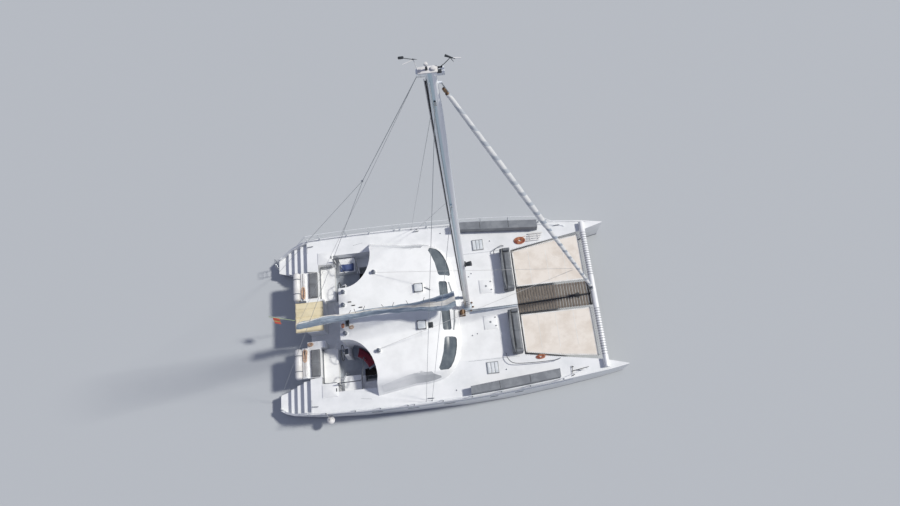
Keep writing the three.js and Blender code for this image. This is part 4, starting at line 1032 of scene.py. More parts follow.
# satin grey vinyls, chalked by the sun, the sofas' darker than the benches'
vinyls = []
for name, tones in (
    ("grey vinyl", ("#787C81", "#8B8F93")), ("dark grey vinyl", ("#686C70", "#797D81")),
):
    made, made_place, _ = drifting(name, tones, 0.45, 0.55)
    grained(made, made_place, 300.0, 0.2, 0.0006)
    vinyls.append(made)
grey_vinyl, dark_vinyl = vinyls
for side, sign in SIDES:
    name = "foredeck_sofa_" + side
    forms = [block(sign, *part, 0.03, 0.02) for part in SOFA_PARTS]
    blocks = [stuffed(form, 0.02, lambda co: co.z < 1.95) for form in forms]
    for vert in blocks[0].verts:
        if vert.co.z > 2.08:
            vert.co.z -= 0.02 * math.exp(-(((abs(vert.co.y) - SOFA_SEAM_Y) / 0.02) ** 2))
    cushion(name, gather(*blocks), dark_vinyl)
    piping = tube([(3.118, y * sign, 2.325) for y in (0.54, 1.2, 1.8, 2.52)], 0.014, 8, 3)
    piece(name + ".piping", piping, rubber)


# Side benches
# Long low lockers along the side decks, covered in grey vinyl with two seams across.
BENCH_SEAMS = ((2.2, 3.755), (3.6, 3.64))
for side, sign in SIDES:
    name = "side_bench_" + side
    shape = bmesh.new()
    shape.from_mesh(frame["nodes"][name].data)
    bmesh.ops.remove_doubles(shape, verts=shape.verts, dist=0.0001)
    for x in (2.18, 2.22, 3.58, 3.62):
        cut(shape, (x, 0, 0), (1, 0, 0))
    bench = piece(name + ".smooth", shape, grey_vinyl)
    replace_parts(bench, name)
    seat = tree_of(bench)
    seams = [ribbon([(x, y), (x, y + 0.33)], 0.02, 0.003, seat, sign) for x, y in BENCH_SEAMS]
    piece("side_bench_seams_" + side, gather(*seams), rubber)


# Guard rails
# Welded steel posts with two wires on the outboard edges, fixed to the toe rails.
RAIL_POSTS_X = (-5.87, -4.5, -3.35, -2.08, -1.78, -0.45, 0.9, 2.25, 3.6, 5.15)
RAIL_FOOT_Z, RAIL_LOOK_Z = 1.766, 2.2

# white coating on the tubes and wires of the rails: bright, satin
rail_steel = drifting("white-coated tube and wire", ("#F6F8F8", "#E2E6E8"), 0.1, 0.35)[0]

for side, sign in SIDES:
    smooth_copy("guard_rail_" + side, rail_steel, 50)
    rail_tree = tree_of(frame["nodes"]["guard_rail_" + side])
    feet = []
    for x in RAIL_POSTS_X:
        outside = Vector((x, 5 * sign, RAIL_LOOK_Z))
        hit = rail_tree.ray_cast(outside, Vector((0, -sign, 0)))[0]
        if hit:
            foot = Vector((x, hit.y - 0.014 * sign, RAIL_FOOT_Z))
            feet.append(rod(foot, raised(foot, 0.05), 0.028, 0.022, 16))
    piece("rail_feet_" + side, gather(*feet), steel)


# Mast
# A raked alloy spar with a dark luff groove and a pale track on its after face, a crane
# with instruments at its head, and a black bracket for the light forward.
MAST_X, MAST_TOP_X, MAST_FOOT_Z, MAST_TOP_Z = 1.14, 0.86, 1.7203, 20.69
TRACK_Z = (4.6, 20.4)
COLLAR = ((-0.01, 0.0), (-0.01, 0.26), (0.03, 0.25), (0.05, 0.2), (0.05, 0.0))
SHEAVE = ((-0.02, 0.0), (-0.02, 0.04), (0.0, 0.05), (0.02, 0.04), (0.02, 0.0))
FOOT_BLOCKS = (  # x, y, turn
    (1.0, 0.22, 0.4), (1.2, 0.24, 0.0), (1.36, 0.14, -0.5), (1.4, -0.06, 0.2),
    (1.3, -0.24, 0.9), (0.98, -0.22, 0.1),
)

# the mast's alloy: satin, blue-grey aloft and warmer low down, with a painted highlight down its
# forward face and painted shade in a darker band down its middle
mast_alloy = start_material("weathered mast alloy", "#D9E0E8", 0.3, 0.8)[0]
mast_place = add(mast_alloy, "TexCoord").outputs["Object"]
mast_axes = split(mast_alloy, mast_place)
mast_lean = ranged(mast_alloy, mast_axes["Z"], MAST_FOOT_Z, MAST_TOP_Z, MAST_X, MAST_TOP_X)
mast_along = math_of(mast_alloy, "SUBTRACT", mast_axes["X"], mast_lean)
mast_share = ranged(mast_alloy, mast_along, -0.15, 0.15)
mast_painted_light = ramped(
    mast_alloy, mast_share, (0.0, "#E9EDF0"), (1.0, "#E4E9EE"), (0.25, "#E2E7EC"),
    (0.34, "#BCCED8"), (0.55, "#C6D7DF"), (0.64, "#FBFCFC"), (0.9, "#F4F6F7"),
)
mast_streaks = add(mast_alloy, "Mapping", {"Scale": (30, 30, 0.8)}, {"Vector": mast_place})
mast_noise = noise_of(mast_alloy, mast_streaks.outputs["Vector"], 4.0)
mast_warm = ramped(mast_alloy, mast_noise, (0.35, "#9C9A98"), (0.65, "#DAD8D6"))
mast_low = ranged(mast_alloy, mast_axes["Z"], 9.0, 5.0, 0, 0.75)
mast_tones = {6: mast_painted_light.outputs["Color"], 7: mast_warm.outputs["Color"]}
mast_tone = add(mast_alloy, "Mix", {"data_type": "RGBA"}, {"Factor": mast_low, **mast_tones})
link(mast_alloy, mast_tone.outputs[2], "Base Color")
# the forward face is made matt so that its painted highlight shows
link(mast_alloy, ranged(mast_alloy, mast_share, 0.52, 0.64, 0.8, 0.02), "Metallic")
smooth_copy("mast", mast_alloy, 40)


def on_mast(z, along=0.0, aside=0.0):
    """A point beside the mast's middle line: along is forward, aside to port."""
    share = (z - MAST_FOOT_Z) / (MAST_TOP_Z - MAST_FOOT_Z)
    return Vector((MAST_X + (MAST_TOP_X - MAST_X) * share + along, aside, z))


def long_bar(along, aside, half_along, half_aside):
    """A slim bar up the mast, as long as the track."""
    ways = ((-1, -1), (1, -1), (1, 1), (-1, 1))
    rings = [
        [on_mast(z, along + half_along * a, aside + half_aside * b) for a, b in ways]
        for z in TRACK_Z
    ]
    return lofted(rings, around=True, ends=True)


def placed(shape, x, y, z, turn):
    """A form moved to its place and turned about the vertical."""
    matrix = Matrix.Translation((x, y, z)) @ Matrix.Rotation(turn, 4, "Z")
    bmesh.ops.transform(shape, matrix=matrix, verts=shape.verts)
    return shape


piece("mast_groove", long_bar(-0.129, -0.049, 0.015, 0.009), rubber)
piece("mast_track", long_bar(-0.156, -0.012, 0.010, 0.018), white_plastic)
collar = turned(COLLAR, (MAST_X, 0, 1.7305), UP, 36)
piece("mast_collar", collar, alloy)

# brown resin of the turning blocks round the foot: satin, weathered
brown_resin = drifting("weathered brown resin", ("#8F6F55", "#6E533F"), 0.05, 0.5)[0]
foot_blocks = []
for x, y, turn in FOOT_BLOCKS:
    ends = [((-0.035, y, 0.0), (0.035, y + 0.006, 0.09)) for y in (-0.032, 0.026)]
    cheeks = [slab(*end, 0.01, 0.002) for end in ends]
    sheave = turned(SHEAVE, (0, 0, 0.055), ACROSS, 20)
    foot_blocks.append(placed(gather(sheave, *cheeks), x, y, 1.722, turn))
piece("mast_foot_blocks", gather(*foot_blocks), brown_resin)
bracket_at = on_mast(8.03, 0.15)
bracket_box = [bracket_at + Vector(reach) for reach in ((-0.01, -0.09, -0.10), (0.05, 0.09, 0.10))]
bracket_arm = [bracket_at + Vector(reach) for reach in ((0.04, 0, -0.03), (0.26, 0, 0.03))]
bracket = gather(slab(*bracket_box, 0.01, 0.006), rod(*bracket_arm, 0.075, 0.1, 20))
piece("mast_light", bracket, black_alloy)
mast_fittings = [
    slab(on_mast(z, -reach, low), raised(on_mast(z, reach, high), height), corner, 0.004)
    for z, reach, low, high, height, corner in (
        (13.86, 0.03, -0.112, 0.112, 0.16, 0), (19.5, 0.03, -0.112, 0.112, 0.16, 0),
        (2.6, 0.05, 0.094, 0.125, 0.35, 0.01), (2.6, 0.05, -0.125, -0.094, 0.35, 0.01),
    )
]
piece("mast_fittings", gather(*mast_fittings), steel)


def aloft(*points):
    """Points at the masthead, given by their height over the crane."""
    return [(x, y, MAST_TOP_Z + z) for x, y, z in points]


head_cap = ((0.0, 0.0), (0.0, 0.06), (0.05, 0.05), (0.07, 0.0))
head_lamp = ((0.0, 0.0), (0.01, 0.03), (0.045, 0.045), (0.085, 0.035), (0.10, 0.0))
head_white = [
    slab(*aloft((0.60, -0.085, 0), (1.02, 0.085, 0.03)), 0.03, 0.004),
    turned(head_cap, *aloft((0.93, 0.0, 0.03)), UP, 24),
    turned(head_lamp, *aloft((0.79, 0.0, 0.16)), UP, 24),
    tube(aloft((0.60, 0.03, 0.03), (0.55, 0.12, 0.24), (0.32, 0.02, 0.26)), 0.008, 8, 1),
    tube(aloft((1.36, 0.03, 0.26), (1.44, 0.04, 0.25), (1.52, 0.03, 0.24)), 0.012, 8, 2),
]
piece("masthead_housing", gather(*head_white), white_plastic)
wands = [
    rod(*aloft((0.79, 0.0, 0.02), (0.79, 0.0, 0.17)), 0.03, 0.018),
    rod(*aloft((0.55, 0.12, 0.25), (0.30, 0.18, 0.27)), 0.007),
    slab(*aloft((0.24, 0.15, 0.262), (0.36, 0.21, 0.28)), 0.02, 0.002),
    rod(*aloft((0.53, 0.125, 0.26), (0.63, 0.10, 0.26)), 0.012, 0.002),
    tube(aloft((1.0, 0.0, 0.01), (1.16, 0.05, 0.08), (1.30, 0.07, 0.24)), 0.008, 8, 2),
    rod(*aloft((1.20, 0.12, 0.26), (1.40, 0.01, 0.26)), 0.028, 0.006),
    rod(*aloft((1.28, 0.10, 0.25), (1.36, -0.04, 0.24)), 0.012, 0.004),
    slab(*aloft((1.0, -0.07, -0.05), (1.10, -0.01, 0.02)), 0.01, 0.004),
    slab(*aloft((1.02, 0.02, -0.06), (1.13, 0.07, 0)), 0.01, 0.004),
]
piece("masthead_instruments", gather(*wands), black_alloy)


# Boom and sail cover
# The boom carries an open-topped cover of blue-grey cloth, laced along both sides, with
# the sail flaked down into it and a cream patch of sail showing at the mast.
BOOM_PLACE = Matrix.Translation((0.88, 0, 3.42)) @ Matrix.Rotation(math.radians(4.2), 4, "Z")
COVER_FOOT_Z = 0.0603
COVER_STATIONS = (  # along the boom, middle to port, half width, height
    (-7.56, 0.02, 0.14, 0.11), (-7.4, 0.03, 0.175, 0.15), (-6.95, 0.04, 0.18, 0.17),
    (-6.6, 0.07, 0.18, 0.19), (-6.3, 0.105, 0.175, 0.235), (-5.9, 0.085, 0.185, 0.275),
    (-5.45, 0.03, 0.155, 0.295), (-4.9, 0.025, 0.14, 0.305), (-4.3, 0.04, 0.145, 0.325),
    (-3.6, 0.015, 0.145, 0.365), (-2.8, -0.07, 0.18, 0.425), (-2.0, -0.135, 0.215, 0.495),
    (-1.3, -0.20, 0.325, 0.585), (-0.75, -0.225, 0.39, 0.685), (-0.265, -0.15, 0.325, 0.815),
)
SLIT = (  # along the boom, middle of the slit, half of its width, both in degrees from port
    (-7.6, 45, 20), (-6.6, 40, 16), (-5.0, 50, 10), (-4.3, 70, 5), (-3.0, 88, 8),
    (-2.2, 95, 12), (-1.4, 100, 18), (0.0, 106, 24),
)
TIES = (  # along the boom, how far it stands out, sweep along it
    (-5.1, 0.10, 0.10), (-4.8, 0.14, -0.05), (-4.45, 0.16, 0.1), (-3.5, 0.1, -0.1),
    (-3.1, 0.12, 0.08), (-2.4, 0.12, -0.06), (-1.7, 0.1, 0.08),
)
COVER_STEPS, COVER_SIDES, COVER_CLOTH = 170, 48, 0.00455
HEM_FROM, HEM_TO = -6.9, -1.05

# painted canvas of the cover: matt blue-grey, with pale streaks along it that are painted highlight on
# the ridges of its folds
cover_cloth, cover_colour = woven("faded blue-grey canvas", ("#8A9AA8", "#A0AFB9"), 0.004)
cover_place = add(cover_cloth, "TexCoord").outputs["Object"]
cover_pull = add(cover_cloth, "Mapping", {"Scale": (0.9, 14.0, 14.0)}, {"Vector": cover_place})
cover_lines = noise_of(cover_cloth, cover_pull.outputs["Vector"], 1.0, Detail=3.0, Roughness=0.5)
cover_painted_highlight = ranged(cover_cloth, cover_lines, 0.54, 0.66, 0, 0.75)
link(cover_cloth, over(cover_cloth, cover_painted_highlight, cover_colour, "#C3CDD6"), "Base Color")
# laminate sailcloth: off-white, slightly glossy, creased
sail_cloth = woven("creased cream-white sailcloth", ("#F7F4EA", "#E6E3D8"), 0.004, 0.55)[0]

smooth_copy("boom", alloy, 35)


def station_at(along):
    """The cover's middle, half width and height at a place along the boom, eased between."""
    for near, far in zip(COVER_STATIONS, COVER_STATIONS[1:]):
        if along <= far[0]:
            break
    t = (along - near[0]) / (far[0] - near[0])
    t = t * t * (3 - 2 * t)
    return [a + (b - a) * t for a, b in zip(near[1:], far[1:])]


def cover_point(along, angle, inset):
    """A point on the cover, with the soft hollows and long folds of the cloth."""
    middle, half, height = station_at(along)
    c, s = math.cos(angle), math.sin(angle)
    lean = 0.05 * noise.noise(Vector((along * 1.1, c * 1.5, s * 1.5)))
    fold = 0.035 * noise.noise(Vector((along * 1.6, c * 6, s * 6 + 9)))
    crease = 0.01 * noise.noise(Vector((along * 7, c * 5, s * 5)))
    size = 0.93 - inset + (lean + fold + crease) / half * min(1, max(0, s + 0.9))
    up = COVER_FOOT_Z + height * (0.5 + 0.5 * size * s) + 0.004
    return BOOM_PLACE @ Vector((along, middle + half * size * c, up))


def slit_at(along):
    """Where the cover stands open at a place along the boom, in radians."""
    middle, width = between(SLIT, along)
    middle += 5 * noise.noise(Vector((along * 1.7, 3, 0)))
    width = max(5, width + 4 * noise.noise(Vector((along * 3, 8, 0))))
    return math.radians(middle), math.radians(width)


cover_rings, sail_rings, hems = [], [], [[], []]
for i in range(COVER_STEPS + 1):
    first, last = COVER_STATIONS[0][0] + 0.005, COVER_STATIONS[-1][0] - 0.005
    along = first + (last - first) * i / COVER_STEPS
    skin = COVER_CLOTH / station_at(along)[1]
    slit, half_slit = slit_at(along)
    round_it = math.tau - 2 * half_slit
    angles = [slit + half_slit + round_it * k / COVER_SIDES for k in range(COVER_SIDES + 1)]
    outer = [cover_point(along, angle, 0.0) for angle in angles]
    cover_rings.append(outer + [cover_point(along, angle, skin) for angle in reversed(angles)])
    if i % 2 == 0 and HEM_FROM < along < HEM_TO:
        for hem, turn in zip(hems, (slit + half_slit + 0.05, slit - half_slit - 0.05)):
            hem.append(cover_point(along, turn, -0.01))
    shift = 3 * noise.noise(Vector((along * 0.9, 0, 0)))
    inside = []
    for k in range(COVER_SIDES):
        angle = math.tau * k / COVER_SIDES
        flakes = 0.05 * (0.5 - 0.5 * math.cos(11 * angle + shift))
        inside.append(cover_point(along, angle, 0.05 + flakes))
    sail_rings.append(inside)
ties = []
for along, reach, sweep in TIES:
    middle, half, height = station_at(along)
    start = (along, middle + half * 0.55, COVER_FOOT_Z + height * 0.9)
    end = (along + sweep, middle + half + reach, COVER_FOOT_Z + height * 0.72)
    start, end = BOOM_PLACE @ Vector(start), BOOM_PLACE @ Vector(end)
    ties.append(tube([start, raised(start.lerp(end, 0.5), 0.03), end], 0.011, 6, 4))
hem_tubes = [tube(hem, 0.013, 6, 1) for hem in hems]
cover_skin, flakes_skin = lofted(cover_rings, True, True), lofted(sail_rings, True, True)
piece("cover_ties", gather(*ties), leather, "boom")
piece("cover_hems", gather(*hem_tubes), border_cloth, "boom")
cover = piece("sail_bag.cover", cover_skin, cover_cloth, "boom", 55)
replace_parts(cover, "sail_bag")
piece("flaked_sail", flakes_skin, sail_cloth, "boom", 60)


# Forestay, furled headsail and shrouds
# Twisted steel wires with swaged ends, and the headsail rolled tightly round its foil with
# a blue-grey sacrificial strip winding up it.
ROLL_FOOT, ROLL_HEAD = Vector((6.86, 0, 3.05)), Vector((1.19, 0, 19.72))
STRIP_TURNS = 1.15  # how often the strip winds round the roll per metre
ROLL_RINGS, ROLL_SIDES, ROLL_SAMPLES, ROLL_END = 260, 28, 14, 0.01
STRIP_SPOTS = ((0.0, 0), (0.05, 0.9), (0.3, 0.8), (0.4, 0))  # share of a turn, strength
SWIVEL = (
    (0.0, 0.012), (0.0, 0.04), (0.05, 0.046), (0.07, 0.03), (0.12, 0.03), (0.14, 0.046),
    (0.24, 0.042), (0.26, 0.012),
)


def waves(material, place, scale):
    """Slanting stripes, as the strands of a wire or rope show them."""
    settings = {"bands_direction": "DIAGONAL", "Scale": scale}
    return add(material, "TexWave", settings, {"Vector": place}).outputs["Fac"]


# twisted steel wire: dull, with the lay of its strands
wire = start_material("twisted steel wire", "#A9AEB2", 0.35, 0.9)[0]
wire_lay = waves(wire, add(wire, "TexCoord").outputs["Object"], 20.0)
wire_tone = ramped(wire, wire_lay, (0.0, "#8C9195"), (1.0, "#C3C7CA"))
link(wire, wire_tone.outputs["Color"], "Base Color")

for name in ("cap_shroud_", "lower_shroud_", "backstay", "backstay_leg_"):
    for ending in ("port", "starboard") if name.endswith("_") else ("",):
        smooth_copy(name + ending, wire, 50)
smooth_copy("forestay", steel, 50)
# aged bronze: brown with paler rubbed patches
bronze = drifting("aged bronze", ("#665344", "#8C7156"), 0.07, 0.4, 0.8)[0]

stay_way = (ROLL_HEAD - ROLL_FOOT).normalized()
across = stay_way.orthogonal().normalized()
upward = stay_way.cross(across)
roll_points = []
for vert in frame["nodes"]["headsail"].data.vertices:
    away = frame["nodes"]["headsail"].matrix_world @ vert.co - ROLL_FOOT
    roll_points.append((away.dot(stay_way), (away - stay_way * away.dot(stay_way)).length))
levels = sorted({round(along, 3) for along, _ in roll_points})
level_radii = []
for level in levels[:: max(1, len(levels) // ROLL_SAMPLES)] + [levels[-1]]:
    near = sorted(roll_points, key=lambda spot: abs(spot[0] - level))[:24]
    level_radii.append((level, sum(radius for _, radius in near) / len(near)))
roll_rings = []
roll_length = levels[-1] - levels[0] - 2 * ROLL_END
for i in range(ROLL_RINGS):
    along = levels[0] + ROLL_END + roll_length * i / (ROLL_RINGS - 1)
    radius = between(level_radii, along)[0] * (0.62 + 0.38 * min(1.0, (levels[-1] - along) / 4.5))
    ring = []
    for k in range(ROLL_SIDES):
        share = k / ROLL_SIDES
        c, s = math.cos(math.tau * share), math.sin(math.tau * share)
        step = 0.93 + 0.07 * ((share + along * STRIP_TURNS) % 1.0)
        crease = 0.015 * noise.noise(Vector((c * 2, s * 2, along * 3)))
        out = (across * c + upward * s) * radius * (step + crease)
        ring.append(ROLL_FOOT + stay_way * along + out)
    roll_rings.append(ring)

# furled laminate: off-white with a winding blue-grey strip, creased along the roll
strip_cloth, sail_white = woven(
    "off-white sailcloth with a blue-grey strip", ("#E6E6E3", "#D9DBDB"), 0.004, 0.6
)
strip_axes = split(strip_cloth, add(strip_cloth, "TexCoord").outputs["UV"])
strip_wind = math_of(strip_cloth, "FRACT", strip_axes["Y"])
strip_ramp = add(strip_cloth, "ValToRGB", links={"Fac": strip_wind})
for spot, share in STRIP_SPOTS:
    strip_ramp.color_ramp.elements.new(spot).color = (share, share, share, 1)
strip_ramp.color_ramp.elements[-1].color = (0, 0, 0, 1)
strip_low = ranged(strip_cloth, strip_axes["X"], 12.0, 8.0, 0.65, 1.0)
strip_on = math_of(strip_cloth, "MULTIPLY", strip_ramp.outputs["Color"], strip_low)
link(strip_cloth, over(strip_cloth, strip_on, sail_white, "#8D9BAA"), "Base Color")
roll_skin = lofted(roll_rings, True, True)
roll = piece("headsail.roll", roll_skin, strip_cloth, "root", 45)
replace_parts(roll, "headsail")
chart = roll.data.uv_layers.new(name="chart")
for loop in roll.data.loops:
    co = roll.data.vertices[loop.vertex_index].co - ROLL_FOOT
    along = co.dot(stay_way)
    flat = co - stay_way * along
    turn = math.atan2(flat.dot(upward), flat.dot(across)) / math.tau
    chart.data[loop.index].uv = (along, turn + along * STRIP_TURNS)
swivel = turned(SWIVEL, ROLL_HEAD + stay_way * 0.03, stay_way, 20)
piece("furling_swivel", swivel, bronze)


# Running rigging
# Taut lines of braided cord: headsail sheets to the roof winches, the topping lift and the
# halyards along the mast.
SHEET_CLEW_X, SHEET_CLEW_Z, SHEET_WINCH = 5.71, 5.81, (-3.02, 1.83, 2.93)
LIFT_TOP, LIFT_FOOT = (0.59, 0.02, 20.548), Vector((-7.585, 0, 0.061))
HALYARDS = (  # foot, head
    ((4.6, -0.06, 0.088), (20.4, -0.05, 0.11)), ((4.6, 0.06, 0.088), (19.3, 0.05, 0.11)),
    ((4.6, -0.06, -0.088), (20.4, -0.05, -0.11)),
)


def laid_rope(name, tones, metres, scale, strength, distance, roughness=0.8):
    """A rope whose strands wind round each other."""
    rope, place, _ = drifting(name, tones, metres, roughness)
    link(rope, bump(rope, waves(rope, place, scale), strength, distance), "Normal")
    return rope


# white braided line: matt, soiled with handling
rope_white = laid_rope("white braided line", ("#DEDDD8", "#C4C2BA"), 0.03, 60.0, 0.4, 0.002)

lines = []
for _, sign in SIDES:
    clew, winch = (SHEET_CLEW_X, 0.03 * sign, SHEET_CLEW_Z), sided([SHEET_WINCH], sign)[0]
    lines.append(rod(clew, winch, 0.007, None, 8))
lines += [rod(on_mast(*foot), on_mast(*head), 0.006, None, 8) for foot, head in HALYARDS]
piece("running_lines", gather(*lines), rope_white)
topping_lift = rod(LIFT_TOP, BOOM_PLACE @ LIFT_FOOT, 0.005, None, 8)
piece("topping_lift", topping_lift, rope_white, "boom")


# Winches, clutches and cleats
# Two-speed winches on round pads on the roof, clutch banks at its after edge, and mooring
# cleats on the decks.
WINCH_PLACES = ((-3.12, 1.89), (-3.12, -1.89), (-4.58, 1.01), (-4.6, 0.38), (-4.57, -0.97))
WINCH = (
    (0.0, 0.0), (0.0, 0.105), (0.03, 0.1), (0.045, 0.078), (0.10, 0.066), (0.14, 0.078),
    (0.155, 0.086), (0.165, 0.08), (0.175, 0.05), (0.19, 0.045), (0.19, 0.0),
)
WINCH_PAD = ((-0.03, 0.0), (-0.03, 0.16), (0.03, 0.13), (0.03, 0.0))
CLUTCHES = (  # x, y, levers
    (-4.3, 0.51, 1), (-4.13, 0.33, 1), (-3.8, 0.21, 1), (-4.45, -0.5, 5),
)
CLUTCH_PITCH = 0.06
CLEATS = (  # x, y to port and to starboard, turn in degrees
    (-6.35, 3.95, 3.95, 0), (6.0, 3.62, 3.62, 0), (-1.0, 4.14, 4.14, 0), (-6.765, 1.3, 1.36, 90),
)
CLEAT_HORNS = ((-0.15, 0, 0.055), (-0.07, 0, 0.06), (0.07, 0, 0.06), (0.15, 0, 0.055))

winches, pads, clutches, cleats = [], [], [], []
for x, y in WINCH_PLACES:
    spot = on_top(roof_tree, x, y)
    pads.append(turned(WINCH_PAD, spot, UP, 32))
    winches.append(turned(WINCH, raised(spot, 0.028), UP, 32))
for x, y, levers in CLUTCHES:
    top = min(on_top(roof_tree, x + dx, y).z for dx in (-0.1, 0.1))
    for i in range(levers):
        at = y + (i - (levers - 1) / 2) * CLUTCH_PITCH
        body = ((x - 0.08, at - 0.018, top - 0.02), (x + 0.08, at + 0.018, top + 0.07))
        lever = ((x - 0.06, at - 0.01, top + 0.07), (x + 0.09, at + 0.01, top + 0.09))
        clutches += [slab(*body, 0.008, 0.006), slab(*lever, 0.006, 0.003)]
piece("winch_pads", gather(*pads), deck_paint)
piece("roof_winches", gather(*winches), steel)
piece("rope_clutches", gather(*clutches), black_alloy)
decks = tree_of(*[frame["nodes"][n] for n in ("hull_port", "hull_starboard", "bridge_deck")])
for side, sign in SIDES:
    for x, *ys, degrees in CLEATS:
        y = ys[side == "starboard"] * sign
        legs = [rod((leg, 0, -0.01), (leg * 0.9, 0, 0.06), 0.022, 0.014) for leg in (-0.05, 0.05)]
        form = gather(tube(CLEAT_HORNS, 0.015, 10, 4), *legs)
        turn = math.radians(4 * sign + degrees)
        cleats.append(placed(form, x, y, on_top(decks, x, y).z + 0.008, turn))
piece("mooring_cleats", gather(*cleats), steel)


# Windlass, chain and anchor
# A bronze-cased windlass turns a drum aft of the chain channel; galvanised chain runs from
# it to the anchor on its pole over the catwalk.
CHAIN_PATH = (
    (1.02, -0.255, 1.80), (1.5, -0.235, 1.782), (2.4, -0.215, 1.782), (3.4, -0.19, 1.782),
    (3.62, -0.18, 1.80),
)
CHAIN_PITCH, CHAIN_WIRE, LINK_LONG, LINK_WIDE = 0.042, 0.006, 0.02, 0.012
LINK_ROUND = ((1, 0.5), (1, -0.5), (0, -1), (-1, -0.5), (-1, 0.5), (0, 1))

# hot-dip zinc: dull grey, mottled
zinc = drifting("dull galvanised steel", ("#7C8084", "#A0A4A7"), 0.03, 0.55, 0.6)[0]
# bitumen paint on the anchor: black, dull
black_paint = drifting("black bitumen paint", ("#222427", "#3B3D40"), 0.06, 0.6)[0]

smooth_copy("windlass", bronze, 40)
smooth_copy("anchor", black_paint, 40)
chain = []
path = [Vector(p) for p in CHAIN_PATH]
lengths = [(b - a).length for a, b in zip(path, path[1:])]
for i in range(int(sum(lengths) / CHAIN_PITCH)):
    along, leg = i * CHAIN_PITCH, 0
    while leg < len(lengths) - 1 and along > lengths[leg]:
        along -= lengths[leg]
        leg += 1
    way = (path[leg + 1] - path[leg]).normalized()
    aside = Vector((-way.y, way.x, 0)).normalized()
    aside = aside if i % 2 else way.cross(aside)
    middle = path[leg] + way * along
    oval = [middle + way * a * LINK_LONG + aside * b * LINK_WIDE for a, b in LINK_ROUND]
    chain.append(tube(oval, CHAIN_WIRE, 5, 2, closed=True))
piece("anchor_chain", gather(*chain), zinc)


# Rudders, propellers and ladder
# Painted blades under the hulls, two-bladed bronze propellers, and a folding steel ladder
# at the port stern.
for side, _ in SIDES:
    smooth_copy("rudder_" + side, topsides, 40)
    smooth_copy("propeller_" + side, bronze, 40)
smooth_copy("swim_ladder", steel, 50)


# Flagstaff, flag and fender
# A raked staff aft carries a small plain flag; a ball fender hangs from the starboard toe
# rail by its rope.
STAFF_FOOT, STAFF_TOP = Vector((-7.185, 0.26, 1.66)), Vector((-8.16, 0.29, 2.79))
FLAG_SIZE = (0.36, 0.32)  # along the staff, away from it
FLAG_FROM, FLAG_OUT, FLAG_WAVE, FLAG_SKIN = 0.93, 0.014, 0.018, 0.0011
FLAG_ROWS, FLAG_COLUMNS = 24, 20

# painted wood of the staff: pale green, glossy, weathered along its length
staff_paint = drifting("pale green paint", ("#AFC290", "#8FA477"), 0.1, 0.4)[0]
smooth_copy("flagstaff", staff_paint, 50)
fender = smooth_copy("fender", white_plastic, 60)
tint(fender, rope_white, lambda x, y, z: z > 1.26)

# thin polyester bunting: matt, brick red with one olive band
bunting = woven("flag bunting", ("#A6443A", "#9A3C34"), 0.002, 0.8)[0]
flag_share = split(bunting, add(bunting, "TexCoord").outputs["UV"])["Y"]
flag_tones = ramped(bunting, flag_share, (0.0, "#A5493C"), (0.5, "#7E8A4A"), (0.62, "#A5493C"))
flag_tones.color_ramp.interpolation = "CONSTANT"
link(bunting, flag_tones.outputs["Color"], "Base Color")
staff_way = (STAFF_TOP - STAFF_FOOT).normalized()
hang = Vector((0.12, -0.72, -0.62)).normalized()
rows = []
for i in range(FLAG_ROWS + 1):
    u = i / FLAG_ROWS * FLAG_SIZE[0]
    outer, inner = [], []
    for j in range(FLAG_COLUMNS + 1):
        v = j / FLAG_COLUMNS * FLAG_SIZE[1]
        wave = FLAG_WAVE * math.sin(v * 22 + u * 6) * min(1, v / 0.08)
        at = STAFF_FOOT + staff_way * (FLAG_FROM + u) + hang * (FLAG_OUT + v * 0.97)
        outer.append(at + staff_way.cross(hang) * (wave + FLAG_SKIN))
        inner.append(at + staff_way.cross(hang) * (wave - FLAG_SKIN))
    rows.append(outer + inner[::-1])
flag = sheathed(rows)
flag_chart = flag.loops.layers.uv.new("chart")
for face in flag.faces:
    for loop in face.loops:
        row, spot = divmod(loop.vert.index, len(rows[0]))
        column = min(spot, len(rows[0]) - 1 - spot)
        loop[flag_chart].uv = (row / FLAG_ROWS, column / FLAG_COLUMNS)
banner = piece("flag", flag, bunting, "root", 60)


# Helm rails and foredeck arcs
# Bent steel tubes: guards over the outboard cockpit seats, and arcs round the sofas with
# their feet through the deck.
GUARD = (
    (-5.2, 3.04, 1.3), (-5.2, 3.04, 1.95), (-5.12, 3.04, 2.08), (-4.3, 3.03, 2.1),
    (-4.12, 3.0, 2.09), (-4.02, 2.6, 2.09), (-3.94, 2.05, 2.07), (-3.94, 1.95, 1.95),
    (-3.94, 1.93, 0.9),
)
GUARD_BRACE = ((-4.93, 3.04, 2.08), (-4.8, 2.65, 2.02), (-4.78, 2.56, 1.9), (-4.78, 2.55, 1.2))
ARC_PORT = (
    (2.75, 2.52, 1.72), (2.72, 2.52, 1.85), (2.76, 2.62, 1.93), (3.0, 2.78, 1.93),
    (3.2, 2.83, 1.9), (3.24, 2.84, 1.72),
)
ARC_STARBOARD = (
    (2.68, -2.45, 1.72), (2.68, -2.5, 1.88), (2.75, -2.78, 1.93), (3.05, -3.0, 1.93),
    (4.0, -3.06, 1.93), (4.9, -3.05, 1.93), (5.12, -2.98, 1.88), (5.15, -2.95, 1.73),
)
guards = [
    tube(sided(path, sign), radius, 10, 5)
    for _, sign in SIDES
    for path, radius in ((GUARD, 0.021), (GUARD_BRACE, 0.018))
]
arcs = [tube(path, 0.016, 10, 5) for path in (ARC_PORT, ARC_STARBOARD)]
piece("cockpit_guards", gather(*guards), dark_steel)
piece("foredeck_arcs", gather(*arcs), dark_steel)
